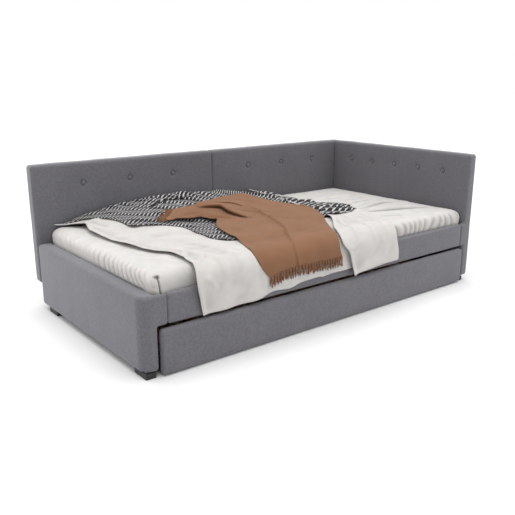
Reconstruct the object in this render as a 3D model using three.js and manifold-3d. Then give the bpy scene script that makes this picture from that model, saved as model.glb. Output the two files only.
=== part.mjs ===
// An upholstered corner daybed, made up with bedding, over a low trundle unit on rollers.
// Millimetres. +X runs from the footboard to the headboard, +Y from the open front to the back
// panels, +Z up. The origin is on the floor, under the centre of the whole bed.

import * as THREE from 'three';
import { RoundedBoxGeometry } from 'three/addons/geometries/RoundedBoxGeometry.js';
import { mergeVertices } from 'three/addons/utils/BufferGeometryUtils.js';
import Module from 'manifold-3d';

const wasm = await Module();
wasm.setup();

// ---------------------------------------------------------------- driving dimensions

const LENGTH = 2046;
const HEIGHT = 700;
const END_DEPTH = 1014;
const BACK_THICK = 66;
const FOOTBOARD_THICK = 68;
const HEADBOARD_THICK = 58;
const RAIL_THICK = 26;
const FOOT_HEIGHT = 25;
const LOW_TOP = 326;
const BAY_TOP = 204;
const BACK_UNDERSIDE = 126;
const TRUNDLE_PROUD = 14;

const TOUCH = 0.3;
const EDGE_RADIUS = 14;
const THIN_EDGE_RADIUS = 12;

const CORE_MARGIN = 15;
const RAIL_FOAM = 8;

const FOOTBOARD_RETURN = 45;
const HEADBOARD_RETURN = 28;
const CLEAT_WIDTH = 22;

const LEDGER_WIDTH = 20;
const LEDGER_HEIGHT = 24;
const SLAT_THICK = 18;
const SLAT_WIDTH = 70;
const BED_SLATS = 12;
const TRUNDLE_SLATS = 10;
const SLAT_END_GAP = 60;
const STRAP_WIDTH = 30;
const STRAP_THICK = 1;
const STRAP_BITE = 0.5;

const FOOT_LENGTH = 93;
const LEFT_FOOT_WIDTH = 44;
const LEFT_FOOT_INSET = 10;
const RIGHT_FOOT_WIDTH = 30;
const RIGHT_FOOT_INSET = 36;
const FRONT_FOOT_SETBACK = 4;
const BACK_FOOT_SETBACK = 865;

const BUTTON_RADIUS = 11;
const BUTTON_DOME = 5;
const BUTTON_RIM = 1.5;
const BUTTON_HEIGHT = 599;
const BUTTONS_PER_BACK = 3;
const HEAD_BUTTONS = 5;
const HEAD_BUTTON_FIRST = 170;
const HEAD_BUTTON_PITCH = 172.5;
const SHANK_RADIUS = 2;
const SHANK_HOLE_RADIUS = 3;
const SHANK_REACH = 24;

const BRACKET_LEG = 45;
const BRACKET_THICK = 2.5;
const BRACKET_HEIGHT = 17;
const JOINING_PLATE_LENGTH = 120;
const JOINING_PLATE_HEIGHT = 60;
const JOINING_PLATE_BASE = 252;

const MATTRESS_THICK = 150;
const MATTRESS_EDGE_RADIUS = 42;
const MATTRESS_END_GAP = 3;
const MATTRESS_SIDE_GAP = 5;
const SHEET_THICK = 1.6;
const SHEET_HEM_RISE = 6;
const DUVET_THICK = 6;
const DUVET_PLUMP = 70;
const DUVET_INSET = 198;
const DUVET_WIDTH = 1210;
const THROW_INSET = 598;
const THROW_WIDTH = 620;
const THROW_THICK = 6;

const TRUNDLE_LEFT_REVEAL = 10;
const TRUNDLE_RIGHT_REVEAL = 19;
const TRUNDLE_FRONT_THICK = 34;
const TRUNDLE_FRONT_FOAM = 16;
const TRUNDLE_FRONT_BASE = 8;
const TRUNDLE_TOP_REVEAL = 12;
const TRUNDLE_DEPTH = 1002;
const TRUNDLE_RAIL_THICK = 18;
const TRUNDLE_RAIL_BASE = 18;
const TRUNDLE_RAIL_HEIGHT = 60;
const TRUNDLE_END_CLEARANCE = 3;

const WHEEL_RADIUS = 25;
const WHEEL_WIDTH = 20;
const AXLE_RADIUS = 4;
const AXLE_HOLE_RADIUS = 4.4;
const WHEEL_SETBACK = 120;
const FORK_PLATE = 2.5;
const FORK_SIDE_CLEARANCE = 1.2;
const FORK_TOP = 57;

// ---------------------------------------------------------------- planes worked out from them

const DEPTH = TRUNDLE_PROUD + END_DEPTH + TOUCH + BACK_THICK;
const LEFT = -LENGTH / 2;
const RIGHT = LENGTH / 2;
const FRONT = -DEPTH / 2 + TRUNDLE_PROUD;
const ENDS_BACK = FRONT + END_DEPTH;
const BACK = DEPTH / 2;
const BACK_FACE = BACK - BACK_THICK;
const INNER_LEFT = LEFT + FOOTBOARD_THICK;
const INNER_RIGHT = RIGHT - HEADBOARD_THICK;
const RAIL_BACK = FRONT + RAIL_THICK;
const LEDGER_TOP = BAY_TOP + LEDGER_HEIGHT;

const MATTRESS_BASE = LEDGER_TOP + TOUCH + SLAT_THICK + STRAP_THICK + TOUCH;
const SHEET_TOP = MATTRESS_BASE + MATTRESS_THICK + TOUCH + SHEET_THICK;

const SHOULDER_Y = RAIL_BACK + MATTRESS_EDGE_RADIUS;

const TRUNDLE_LEFT = INNER_LEFT + TRUNDLE_LEFT_REVEAL;
const TRUNDLE_RIGHT = INNER_RIGHT - TRUNDLE_RIGHT_REVEAL;
const TRUNDLE_FACE = -DEPTH / 2;
const TRUNDLE_FRONT_BACK = TRUNDLE_FACE + TRUNDLE_FRONT_THICK;
const TRUNDLE_REAR = FRONT + TRUNDLE_DEPTH;
const TRUNDLE_RAIL_TOP = TRUNDLE_RAIL_BASE + TRUNDLE_RAIL_HEIGHT;
const TRUNDLE_LEDGER_TOP = TRUNDLE_RAIL_TOP - SLAT_THICK;

// ---------------------------------------------------------------- materials

function matt(color, roughness, metalness = 0) {
  return new THREE.MeshStandardMaterial({ color, roughness, metalness });
}

const GREY_FABRIC = matt(0x76757b, 0.9);
const PLYWOOD = matt(0xc9a878, 0.65);
const PINE = matt(0xd8b98a, 0.6);
const BLACK_PLASTIC = matt(0x151515, 0.5);
const STEEL = matt(0xa9adb2, 0.35, 1);
const WHEEL_PLASTIC = matt(0x2a2b2d, 0.45);
const WHITE_LINEN = matt(0xe6e3df, 0.95);
const MATTRESS_TICKING = matt(0xf0efec, 0.9);
const HOUNDSTOOTH_WOOL = matt(0x808083, 0.95);
const BROWN_WOOL = matt(0xa5775c, 0.95);

// ---------------------------------------------------------------- shapes

// The space between two planes on each axis.
function span(x0, x1, y0, y1, z0, z1) {
  return { low: new THREE.Vector3(x0, y0, z0), high: new THREE.Vector3(x1, y1, z1) };
}

function sizeOf(space) {
  return space.high.clone().sub(space.low);
}

function middleOf(space) {
  return space.low.clone().add(space.high).multiplyScalar(0.5);
}

// The same space grown outwards by a distance on every side.
function grown(space, distance) {
  return {
    low: space.low.clone().subScalar(distance),
    high: space.high.clone().addScalar(distance),
  };
}

// The same space with one side moved: side is 'low' or 'high', axis is 'x', 'y' or 'z'.
function reaching(space, side, axis, value) {
  const copy = { low: space.low.clone(), high: space.high.clone() };
  copy[side][axis] = value;
  return copy;
}

function board(space) {
  const size = sizeOf(space);
  const middle = middleOf(space);
  return new THREE.BoxGeometry(size.x, size.y, size.z).translate(middle.x, middle.y, middle.z);
}

function softBlock(space, radius, steps = 2) {
  const size = sizeOf(space);
  const middle = middleOf(space);
  const block = new RoundedBoxGeometry(size.x, size.y, size.z, steps, radius);
  return block.translate(middle.x, middle.y, middle.z);
}

// A cylinder along one axis, centred on a point.
function rod(radius, length, axis, centre, sides = 12) {
  const cylinder = new THREE.CylinderGeometry(radius, radius, length, sides);
  if (axis === 'x') cylinder.rotateZ(-Math.PI / 2);
  if (axis === 'z') cylinder.rotateX(Math.PI / 2);
  return cylinder.translate(centre.x, centre.y, centre.z);
}

// A section drawn in the Y-Z plane, carried along X.
function alongX(section, x0, x1) {
  const toYZ = new THREE.Matrix4().makeBasis(
    new THREE.Vector3(0, 1, 0),
    new THREE.Vector3(0, 0, 1),
    new THREE.Vector3(1, 0, 0),
  );
  const bar = new THREE.ExtrudeGeometry(section, {
    depth: x1 - x0,
    bevelEnabled: false,
    curveSegments: 8,
  });
  return bar.applyMatrix4(toYZ).translate(x0, 0, 0);
}

// ---------------------------------------------------------------- joins and cuts

function toSolid(geometry) {
  const bare = geometry.clone();
  bare.deleteAttribute('normal');
  bare.deleteAttribute('uv');
  const merged = mergeVertices(bare, 1e-3);
  const mesh = new wasm.Mesh({
    numProp: 3,
    vertProperties: merged.attributes.position.array,
    triVerts: new Uint32Array(merged.index.array),
  });
  return new wasm.Manifold(mesh);
}

function toGeometry(solid) {
  const mesh = solid.getMesh();
  const geometry = new THREE.BufferGeometry();
  geometry.setAttribute('position', new THREE.BufferAttribute(mesh.vertProperties, 3));
  geometry.setIndex(new THREE.BufferAttribute(mesh.triVerts, 1));
  geometry.computeVertexNormals();
  return geometry;
}

function joined(geometries) {
  const solids = geometries.map(toSolid);
  return toGeometry(solids.reduce((whole, piece) => whole.add(piece)));
}

function common(first, second) {
  return toGeometry(toSolid(first).intersect(toSolid(second)));
}

function cut(geometry, cutters) {
  const solids = cutters.map(toSolid);
  return toGeometry(solids.reduce((whole, cutter) => whole.subtract(cutter), toSolid(geometry)));
}

// ---------------------------------------------------------------- scene graph

const trundleBed = new THREE.Group();
const bed = new THREE.Group();
const bedding = new THREE.Group();
const trundle = new THREE.Group();
trundleBed.add(bed, bedding, trundle);

// Adds a mesh whose geometry is already where it sits in the bed. The geometry is moved to its
// own middle, and the mesh's position puts it back.
function addInPlace(group, name, geometry, material) {
  geometry.computeBoundingBox();
  const middle = geometry.boundingBox.getCenter(new THREE.Vector3());
  geometry.translate(-middle.x, -middle.y, -middle.z);
  addAt(group, name, geometry, material, middle);
}

// Adds a mesh whose geometry is drawn round its own origin, turned about Z by a whole angle.
function addAt(group, name, geometry, material, position, turn = 0) {
  const mesh = new THREE.Mesh(geometry, material);
  mesh.name = name;
  mesh.position.copy(position);
  mesh.rotation.z = turn;
  group.add(mesh);
}

// ---------------------------------------------------------------- upholstered panels

// A board core and the padded cover round it. The cover's pocket opens on one side, where the
// fabric is stapled: openSide is 'low' or 'high' on openAxis. extra joins the cover, pockets are
// cut from the cover alone, and holes go through the cover and its core.
function addPadded(
  group, name, cover, core, openSide, openAxis, radius, pockets = [], extra = [], holes = [],
) {
  const far = cover[openSide][openAxis] + (openSide === 'low' ? -1 : 1);
  const corePocket = board(reaching(grown(core, TOUCH), openSide, openAxis, far));
  const padding = joined([softBlock(cover, radius), ...extra]);
  const cutters = [corePocket, ...pockets, ...holes];
  addInPlace(group, name + '_cover', cut(padding, cutters), GREY_FABRIC);
  addInPlace(group, name + '_core', cut(board(core), holes), PLYWOOD);
}

// Where a back panel's buttons go: evenly between its two ends.
function backButtonPlaces(x0, x1) {
  const step = (x1 - x0) / (BUTTONS_PER_BACK + 1);
  return Array.from({ length: BUTTONS_PER_BACK }, (_, i) =>
    new THREE.Vector3(x0 + step * (i + 1), BACK_FACE, BUTTON_HEIGHT));
}

function headButtonPlaces() {
  return Array.from({ length: HEAD_BUTTONS }, (_, i) =>
    new THREE.Vector3(
      INNER_RIGHT,
      FRONT + HEAD_BUTTON_FIRST + i * HEAD_BUTTON_PITCH,
      BUTTON_HEIGHT,
    ));
}

// A domed button with its shank, facing -Y.
function buttonGeometry() {
  const profile = [
    new THREE.Vector2(0, -SHANK_REACH),
    new THREE.Vector2(SHANK_RADIUS, -SHANK_REACH),
    new THREE.Vector2(SHANK_RADIUS, 0),
    new THREE.Vector2(BUTTON_RADIUS, 0),
    new THREE.Vector2(BUTTON_RADIUS, BUTTON_RIM),
    new THREE.Vector2(BUTTON_RADIUS * 0.75, BUTTON_DOME * 0.75),
    new THREE.Vector2(0, BUTTON_DOME),
  ];
  return new THREE.LatheGeometry(profile, 12).rotateX(Math.PI);
}

// The hole that a button's shank passes through, along one axis, centred on the panel's face.
function shankHole(place, axis) {
  return rod(SHANK_HOLE_RADIUS, 2 * (SHANK_REACH + 2), axis, place, 10);
}

function addButtons(panel, places, turn) {
  const away = new THREE.Vector3(0, -TOUCH, 0).applyAxisAngle(new THREE.Vector3(0, 0, 1), turn);
  places.forEach((place, i) => {
    const name = `tuft_button_${panel}_${i + 1}`;
    addAt(bed, name, buttonGeometry(), GREY_FABRIC, place.clone().add(away), turn);
  });
}

// ---------------------------------------------------------------- end panels

// A short return of an end panel's cover along the front rail, with a cleat in it that takes the
// rail's bolts. x0 and x1 are its two ends, and the rail butts against railEnd, one of them.
function cornerReturn(x0, x1, railEnd) {
  const shell = span(x0, x1, FRONT, RAIL_BACK, BAY_TOP, LOW_TOP);
  const middle = railEnd === x1
    ? railEnd - RAIL_FOAM - CLEAT_WIDTH / 2
    : railEnd + RAIL_FOAM + CLEAT_WIDTH / 2;
  const cleat = span(
    middle - CLEAT_WIDTH / 2, middle + CLEAT_WIDTH / 2,
    FRONT + RAIL_FOAM, RAIL_BACK,
    BAY_TOP + RAIL_FOAM, LOW_TOP - RAIL_FOAM,
  );
  const pocket = board(reaching(grown(cleat, TOUCH), 'high', 'y', RAIL_BACK + 1));
  return { shell: softBlock(shell, THIN_EDGE_RADIUS), cleat: board(cleat), pocket };
}

function addFootboard() {
  const cover = span(LEFT, INNER_LEFT, FRONT, ENDS_BACK, FOOT_HEIGHT, LOW_TOP);
  const core = grown(cover, -CORE_MARGIN);
  core.low.z = FOOT_HEIGHT;
  const railEnd = INNER_LEFT + FOOTBOARD_RETURN;
  const corner = cornerReturn(LEFT + EDGE_RADIUS, railEnd, railEnd);
  addPadded(
    bed, 'footboard', cover, core, 'low', 'z', EDGE_RADIUS,
    [corner.pocket], [corner.shell],
  );
  addInPlace(bed, 'footboard_cleat', corner.cleat, PINE);
}

function addHeadboard() {
  const cover = span(INNER_RIGHT, RIGHT, FRONT, ENDS_BACK, FOOT_HEIGHT, HEIGHT);
  const core = grown(cover, -CORE_MARGIN);
  core.low.z = FOOT_HEIGHT;
  const places = headButtonPlaces();
  const holes = places.map((place) => shankHole(place, 'x'));
  const railEnd = INNER_RIGHT - HEADBOARD_RETURN;
  const corner = cornerReturn(railEnd, RIGHT - EDGE_RADIUS, railEnd);
  addPadded(
    bed, 'headboard', cover, core, 'low', 'z', EDGE_RADIUS,
    [corner.pocket], [corner.shell], holes,
  );
  addInPlace(bed, 'headboard_cleat', corner.cleat, PINE);
  addButtons('head', places, -Math.PI / 2);
}

function addFeet() {
  const sides = {
    left: [LEFT + LEFT_FOOT_INSET + LEFT_FOOT_WIDTH / 2, LEFT_FOOT_WIDTH],
    right: [RIGHT - RIGHT_FOOT_INSET - RIGHT_FOOT_WIDTH / 2, RIGHT_FOOT_WIDTH],
  };
  const setbacks = { front: FRONT_FOOT_SETBACK, back: BACK_FOOT_SETBACK };
  for (const [side, [x, width]] of Object.entries(sides)) {
    for (const [end, setback] of Object.entries(setbacks)) {
      const y = FRONT + setback + FOOT_LENGTH / 2;
      const place = new THREE.Vector3(x, y, (FOOT_HEIGHT - TOUCH) / 2);
      const foot = new RoundedBoxGeometry(width, FOOT_LENGTH, FOOT_HEIGHT - TOUCH, 1, 2);
      addAt(bed, `foot_${end}_${side}`, foot, BLACK_PLASTIC, place);
    }
  }
}

// ---------------------------------------------------------------- back and front rail

function addBackPanels() {
  const halves = {
    left: [LEFT, -TOUCH / 2],
    right: [TOUCH / 2, RIGHT],
  };
  for (const [side, [x0, x1]] of Object.entries(halves)) {
    const cover = span(x0, x1, BACK_FACE, BACK, BACK_UNDERSIDE, HEIGHT);
    const core = grown(cover, -CORE_MARGIN);
    core.low.z = BACK_UNDERSIDE;
    const places = backButtonPlaces(x0, x1);
    const holes = places.map((place) => shankHole(place, 'y'));
    addPadded(bed, `back_panel_${side}`, cover, core, 'low', 'z', EDGE_RADIUS, [], [], holes);
    addButtons(`back_${side}`, places, 0);
  }
}

function addFrontRail() {
  const cover = span(
    INNER_LEFT + FOOTBOARD_RETURN + TOUCH, INNER_RIGHT - HEADBOARD_RETURN - TOUCH,
    FRONT, RAIL_BACK,
    BAY_TOP, LOW_TOP,
  );
  const core = grown(cover, -CORE_MARGIN);
  core.low.y = FRONT + RAIL_FOAM;
  core.high.y = RAIL_BACK;
  addPadded(bed, 'front_rail', cover, core, 'high', 'y', THIN_EDGE_RADIUS);
}

// ---------------------------------------------------------------- slats and hardware

function addLedgers() {
  const x0 = INNER_LEFT + TOUCH;
  const x1 = INNER_RIGHT - TOUCH;
  const frontY = RAIL_BACK + TOUCH;
  const backY = BACK_FACE - TOUCH;
  const front = span(x0, x1, frontY, frontY + LEDGER_WIDTH, BAY_TOP, LEDGER_TOP);
  const back = span(x0, x1, backY - LEDGER_WIDTH, backY, BAY_TOP, LEDGER_TOP);
  addInPlace(bed, 'front_ledger', board(front), PINE);
  addInPlace(bed, 'back_ledger', board(back), PINE);
}

// Slats across the bed, joined by two webbing straps on top, as one roll.
function slatRoll(count, x0, x1, y0, y1, base) {
  const top = base + SLAT_THICK;
  const pitch = (x1 - x0 - SLAT_WIDTH) / (count - 1);
  const slats = Array.from({ length: count }, (_, i) => {
    const x = x0 + i * pitch;
    return board(span(x, x + SLAT_WIDTH, y0, y1, base, top));
  });
  const straps = [0.2, 0.8].map((share) => {
    const y = y0 + (y1 - y0) * share;
    const overhang = SLAT_WIDTH / 4;
    const low = y - STRAP_WIDTH / 2;
    const high = y + STRAP_WIDTH / 2;
    return board(span(x0 + overhang, x1 - overhang, low, high, top - STRAP_BITE, top + STRAP_THICK));
  });
  return joined([...slats, ...straps]);
}

function addBedSlats() {
  const roll = slatRoll(
    BED_SLATS,
    INNER_LEFT + SLAT_END_GAP, INNER_RIGHT - SLAT_END_GAP,
    RAIL_BACK + 1, BACK_FACE - 1,
    LEDGER_TOP + TOUCH,
  );
  addInPlace(bed, 'bed_slat_roll', roll, PINE);
}

// An L of steel strip, its outside corner at the origin and its legs along +X and +Y.
function cornerBracketGeometry() {
  const section = new THREE.Shape();
  section.moveTo(0, 0);
  section.lineTo(BRACKET_LEG, 0);
  section.lineTo(BRACKET_LEG, BRACKET_THICK);
  section.lineTo(BRACKET_THICK, BRACKET_THICK);
  section.lineTo(BRACKET_THICK, BRACKET_LEG);
  section.lineTo(0, BRACKET_LEG);
  return new THREE.ExtrudeGeometry(section, { depth: BRACKET_HEIGHT, bevelEnabled: false });
}

function addHardware() {
  const x0 = INNER_LEFT + TOUCH;
  const x1 = INNER_RIGHT - TOUCH;
  const y0 = RAIL_BACK + TOUCH;
  const y1 = BACK_FACE - TOUCH;
  const corners = [
    ['front_left', x0, y0, 0],
    ['front_right', x1, y0, Math.PI / 2],
    ['back_right', x1, y1, Math.PI],
    ['back_left', x0, y1, -Math.PI / 2],
  ];
  for (const [corner, x, y, turn] of corners) {
    const place = new THREE.Vector3(x, y, LEDGER_TOP + TOUCH);
    addAt(bed, `corner_bracket_${corner}`, cornerBracketGeometry(), STEEL, place, turn);
  }
  const plate = span(
    -JOINING_PLATE_LENGTH / 2, JOINING_PLATE_LENGTH / 2,
    y1 - BRACKET_THICK, y1,
    JOINING_PLATE_BASE, JOINING_PLATE_BASE + JOINING_PLATE_HEIGHT,
  );
  addInPlace(bed, 'back_joining_plate', board(plate), STEEL);
}

// ---------------------------------------------------------------- mattress and bedding

function mattressSpace() {
  return span(
    INNER_LEFT + MATTRESS_END_GAP, INNER_RIGHT - MATTRESS_END_GAP,
    RAIL_BACK + MATTRESS_SIDE_GAP, BACK_FACE - MATTRESS_SIDE_GAP,
    MATTRESS_BASE, MATTRESS_BASE + MATTRESS_THICK,
  );
}

// The sheet is a skin over the mattress's top and sides, open underneath.
function addMattress() {
  const space = mattressSpace();
  const inside = grown(space, TOUCH);
  const outside = grown(space, TOUCH + SHEET_THICK);
  const underside = span(
    outside.low.x - 1, outside.high.x + 1,
    outside.low.y - 1, outside.high.y + 1,
    outside.low.z - 1, space.low.z + SHEET_HEM_RISE,
  );
  const outer = softBlock(outside, MATTRESS_EDGE_RADIUS + TOUCH + SHEET_THICK, 3);
  const inner = softBlock(inside, MATTRESS_EDGE_RADIUS + TOUCH, 3);
  addInPlace(bedding, 'mattress', softBlock(space, MATTRESS_EDGE_RADIUS, 3), MATTRESS_TICKING);
  addInPlace(bedding, 'fitted_sheet', cut(outer, [inner, board(underside)]), WHITE_LINEN);
}

// How far the duvet's plump back lifts whatever lies on it, at a given depth.
function plumpness(y) {
  return DUVET_PLUMP * (y - SHOULDER_Y) / (BACK_FACE - SHOULDER_Y);
}

// A cloth's section in the Y-Z plane: over the bed, round the front edge and down to its hem.
// lift is its underside above the sheet at the front and proud its distance in front of the rail.
function drapeSection({ lift, proud, thick, backY, hemZ, underRise, overRise }) {
  const shoulderZ = LOW_TOP + THIN_EDGE_RADIUS;
  const under = { y: FRONT - proud, z: SHEET_TOP + lift };
  const over = { y: under.y - thick, z: under.z + thick };
  const section = new THREE.Shape();
  section.moveTo(backY, under.z + underRise);
  section.lineTo(backY, over.z + overRise);
  section.lineTo(SHOULDER_Y, over.z);
  section.quadraticCurveTo(over.y, over.z, over.y, shoulderZ);
  section.lineTo(over.y, hemZ);
  section.lineTo(under.y, hemZ);
  section.lineTo(under.y, shoulderZ);
  section.quadraticCurveTo(under.y, under.z, SHOULDER_Y, under.z);
  return section;
}

// The duvet lies flat on the sheet and is plump towards the back.
function addDuvet() {
  const backY = BACK_FACE - 15;
  const section = drapeSection({
    lift: TOUCH,
    proud: TOUCH,
    thick: DUVET_THICK,
    backY,
    hemZ: BAY_TOP + 12,
    underRise: 0,
    overRise: plumpness(backY),
  });
  const x0 = LEFT + DUVET_INSET;
  addInPlace(bedding, 'duvet', alongX(section, x0, x0 + DUVET_WIDTH), WHITE_LINEN);
}

// The houndstooth throw lies on the duvet, along the back.
function addHoundstoothThrow() {
  const outline = [
    [-820, 460], [-680, 230], [-620, 95], [-500, -130], [-400, -290],
    [360, -180], [380, 40], [380, 280], [340, 460],
  ];
  const plan = new THREE.Shape(outline.map(([x, y]) => new THREE.Vector2(x, y)));
  const column = new THREE.ExtrudeGeometry(plan, { depth: HEIGHT, bevelEnabled: false });
  const low = SHEET_TOP + DUVET_THICK + 2 * TOUCH;
  const high = low + THROW_THICK;
  const layer = new THREE.Shape();
  layer.moveTo(SHOULDER_Y, low);
  layer.lineTo(BACK_FACE, low + DUVET_PLUMP);
  layer.lineTo(BACK_FACE, high + DUVET_PLUMP);
  layer.lineTo(SHOULDER_Y, high);
  const cloth = common(alongX(layer, LEFT, RIGHT), column);
  addInPlace(bedding, 'houndstooth_throw', cloth, HOUNDSTOOTH_WOOL);
}

function addBrownThrow() {
  const backY = BACK_FACE - 25;
  const section = drapeSection({
    lift: DUVET_THICK + THROW_THICK + 3 * TOUCH,
    proud: DUVET_THICK + 2 * TOUCH,
    thick: THROW_THICK,
    backY,
    hemZ: BAY_TOP + 46,
    underRise: plumpness(backY),
    overRise: plumpness(backY),
  });
  const x0 = LEFT + THROW_INSET;
  addInPlace(bedding, 'brown_throw', alongX(section, x0, x0 + THROW_WIDTH), BROWN_WOOL);
}

// ---------------------------------------------------------------- trundle frame

function addTrundleFront() {
  const cover = span(
    TRUNDLE_LEFT, TRUNDLE_RIGHT,
    TRUNDLE_FACE, TRUNDLE_FRONT_BACK,
    TRUNDLE_FRONT_BASE, BAY_TOP - TRUNDLE_TOP_REVEAL,
  );
  const core = grown(cover, -CORE_MARGIN);
  core.low.y = TRUNDLE_FACE + TRUNDLE_FRONT_FOAM;
  core.high.y = TRUNDLE_FRONT_BACK;
  addPadded(trundle, 'trundle_front', cover, core, 'high', 'y', THIN_EDGE_RADIUS);
}

function addTrundleFrame() {
  const x0 = TRUNDLE_LEFT + TRUNDLE_END_CLEARANCE;
  const x1 = TRUNDLE_RIGHT - TRUNDLE_END_CLEARANCE;
  const frontY = TRUNDLE_FRONT_BACK + TOUCH;
  const rearY = TRUNDLE_REAR - TRUNDLE_RAIL_THICK;
  const z0 = TRUNDLE_RAIL_BASE;
  const z1 = TRUNDLE_RAIL_TOP;
  const left = span(x0, x0 + TRUNDLE_RAIL_THICK, frontY, rearY - TOUCH, z0, z1);
  const right = span(x1 - TRUNDLE_RAIL_THICK, x1, frontY, rearY - TOUCH, z0, z1);
  const rear = span(x0, x1, rearY, TRUNDLE_REAR, z0, z1);
  addInPlace(trundle, 'trundle_side_rail_left', board(left), PINE);
  addInPlace(trundle, 'trundle_side_rail_right', board(right), PINE);
  addInPlace(trundle, 'trundle_rear_rail', board(rear), PINE);

  const inner0 = left.high.x + TOUCH;
  const inner1 = right.low.x - TOUCH;
  const ledgerZ = TRUNDLE_LEDGER_TOP - LEDGER_WIDTH;
  const frontLedger = span(
    inner0, inner1, frontY, frontY + LEDGER_WIDTH, ledgerZ, TRUNDLE_LEDGER_TOP,
  );
  const rearLedger = span(
    inner0, inner1, rearY - TOUCH - LEDGER_WIDTH, rearY - TOUCH, ledgerZ, TRUNDLE_LEDGER_TOP,
  );
  addInPlace(trundle, 'trundle_front_ledger', board(frontLedger), PINE);
  addInPlace(trundle, 'trundle_rear_ledger', board(rearLedger), PINE);

  const roll = slatRoll(
    TRUNDLE_SLATS,
    inner0 + SLAT_END_GAP, inner1 - SLAT_END_GAP,
    frontY + 1, rearY - 1,
    TRUNDLE_LEDGER_TOP + TOUCH,
  );
  addInPlace(trundle, 'trundle_slat_roll', roll, PINE);
}

// ---------------------------------------------------------------- trundle rollers

// A U of steel plate over the wheel, drawn round the axle's centre.
function forkGeometry() {
  const inside = WHEEL_WIDTH + 2 * FORK_SIDE_CLEARANCE;
  const outside = inside + 2 * FORK_PLATE;
  const top = FORK_TOP - WHEEL_RADIUS;
  const half = 22;
  const waist = 18;
  const nose = 9;
  const cheek = new THREE.Shape();
  cheek.moveTo(-half, top);
  cheek.lineTo(-half, waist);
  cheek.lineTo(-nose, 0);
  cheek.absarc(0, 0, nose, Math.PI, 2 * Math.PI, false);
  cheek.lineTo(half, waist);
  cheek.lineTo(half, top);
  const slot = span(
    -inside / 2, inside / 2, -half - 1, half + 1, -nose - 1, top - FORK_PLATE,
  );
  const hole = rod(AXLE_HOLE_RADIUS, outside + 2, 'x', new THREE.Vector3(), 16);
  return cut(alongX(cheek, -outside / 2, outside / 2), [board(slot), hole]);
}

// A pin with its head on the +X side.
function axleGeometry() {
  const half = WHEEL_WIDTH / 2 + FORK_SIDE_CLEARANCE + FORK_PLATE;
  const headRadius = 7;
  const headThick = 2.5;
  const profile = [
    new THREE.Vector2(0, -half),
    new THREE.Vector2(AXLE_RADIUS, -half),
    new THREE.Vector2(AXLE_RADIUS, half + TOUCH),
    new THREE.Vector2(headRadius, half + TOUCH),
    new THREE.Vector2(headRadius, half + TOUCH + headThick),
    new THREE.Vector2(0, half + TOUCH + headThick),
  ];
  return new THREE.LatheGeometry(profile, 16).rotateZ(-Math.PI / 2);
}

function wheelGeometry() {
  const half = WHEEL_WIDTH / 2;
  const web = half - 3;
  const hub = 9;
  const rim = 19;
  const shoulder = 2;
  const profile = [
    new THREE.Vector2(AXLE_HOLE_RADIUS, -half),
    new THREE.Vector2(hub, -half),
    new THREE.Vector2(hub, -web),
    new THREE.Vector2(rim, -web),
    new THREE.Vector2(rim, -half),
    new THREE.Vector2(WHEEL_RADIUS - shoulder, -half),
    new THREE.Vector2(WHEEL_RADIUS, -half + shoulder),
    new THREE.Vector2(WHEEL_RADIUS, half - shoulder),
    new THREE.Vector2(WHEEL_RADIUS - shoulder, half),
    new THREE.Vector2(rim, half),
    new THREE.Vector2(rim, web),
    new THREE.Vector2(hub, web),
    new THREE.Vector2(hub, half),
    new THREE.Vector2(AXLE_HOLE_RADIUS, half),
    new THREE.Vector2(AXLE_HOLE_RADIUS, -half),
  ];
  return new THREE.LatheGeometry(profile, 24).rotateZ(-Math.PI / 2);
}

function addRollers() {
  const forkHalf = WHEEL_WIDTH / 2 + FORK_SIDE_CLEARANCE + FORK_PLATE;
  const railInner = TRUNDLE_END_CLEARANCE + TRUNDLE_RAIL_THICK + TOUCH + forkHalf;
  const sides = {
    left: [TRUNDLE_LEFT + railInner, 0],
    right: [TRUNDLE_RIGHT - railInner, Math.PI],
  };
  const ends = {
    front: TRUNDLE_FRONT_BACK + WHEEL_SETBACK,
    rear: TRUNDLE_REAR - WHEEL_SETBACK,
  };
  for (const [side, [x, turn]] of Object.entries(sides)) {
    for (const [end, y] of Object.entries(ends)) {
      const place = new THREE.Vector3(x, y, WHEEL_RADIUS);
      const corner = `${end}_${side}`;
      addAt(trundle, `trundle_fork_${corner}`, forkGeometry(), STEEL, place, turn);
      addAt(trundle, `trundle_axle_${corner}`, axleGeometry(), STEEL, place, turn);
      addAt(trundle, `trundle_wheel_${corner}`, wheelGeometry(), WHEEL_PLASTIC, place, turn);
    }
  }
}

// ---------------------------------------------------------------- the whole bed

addFootboard();
addHeadboard();
addFeet();
addBackPanels();
addFrontRail();
addLedgers();
addBedSlats();
addHardware();
addMattress();
addDuvet();
addHoundstoothThrow();
addBrownThrow();
addTrundleFront();
addTrundleFrame();
addRollers();

export default trundleBed;
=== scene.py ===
import math
from contextlib import contextmanager

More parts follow.
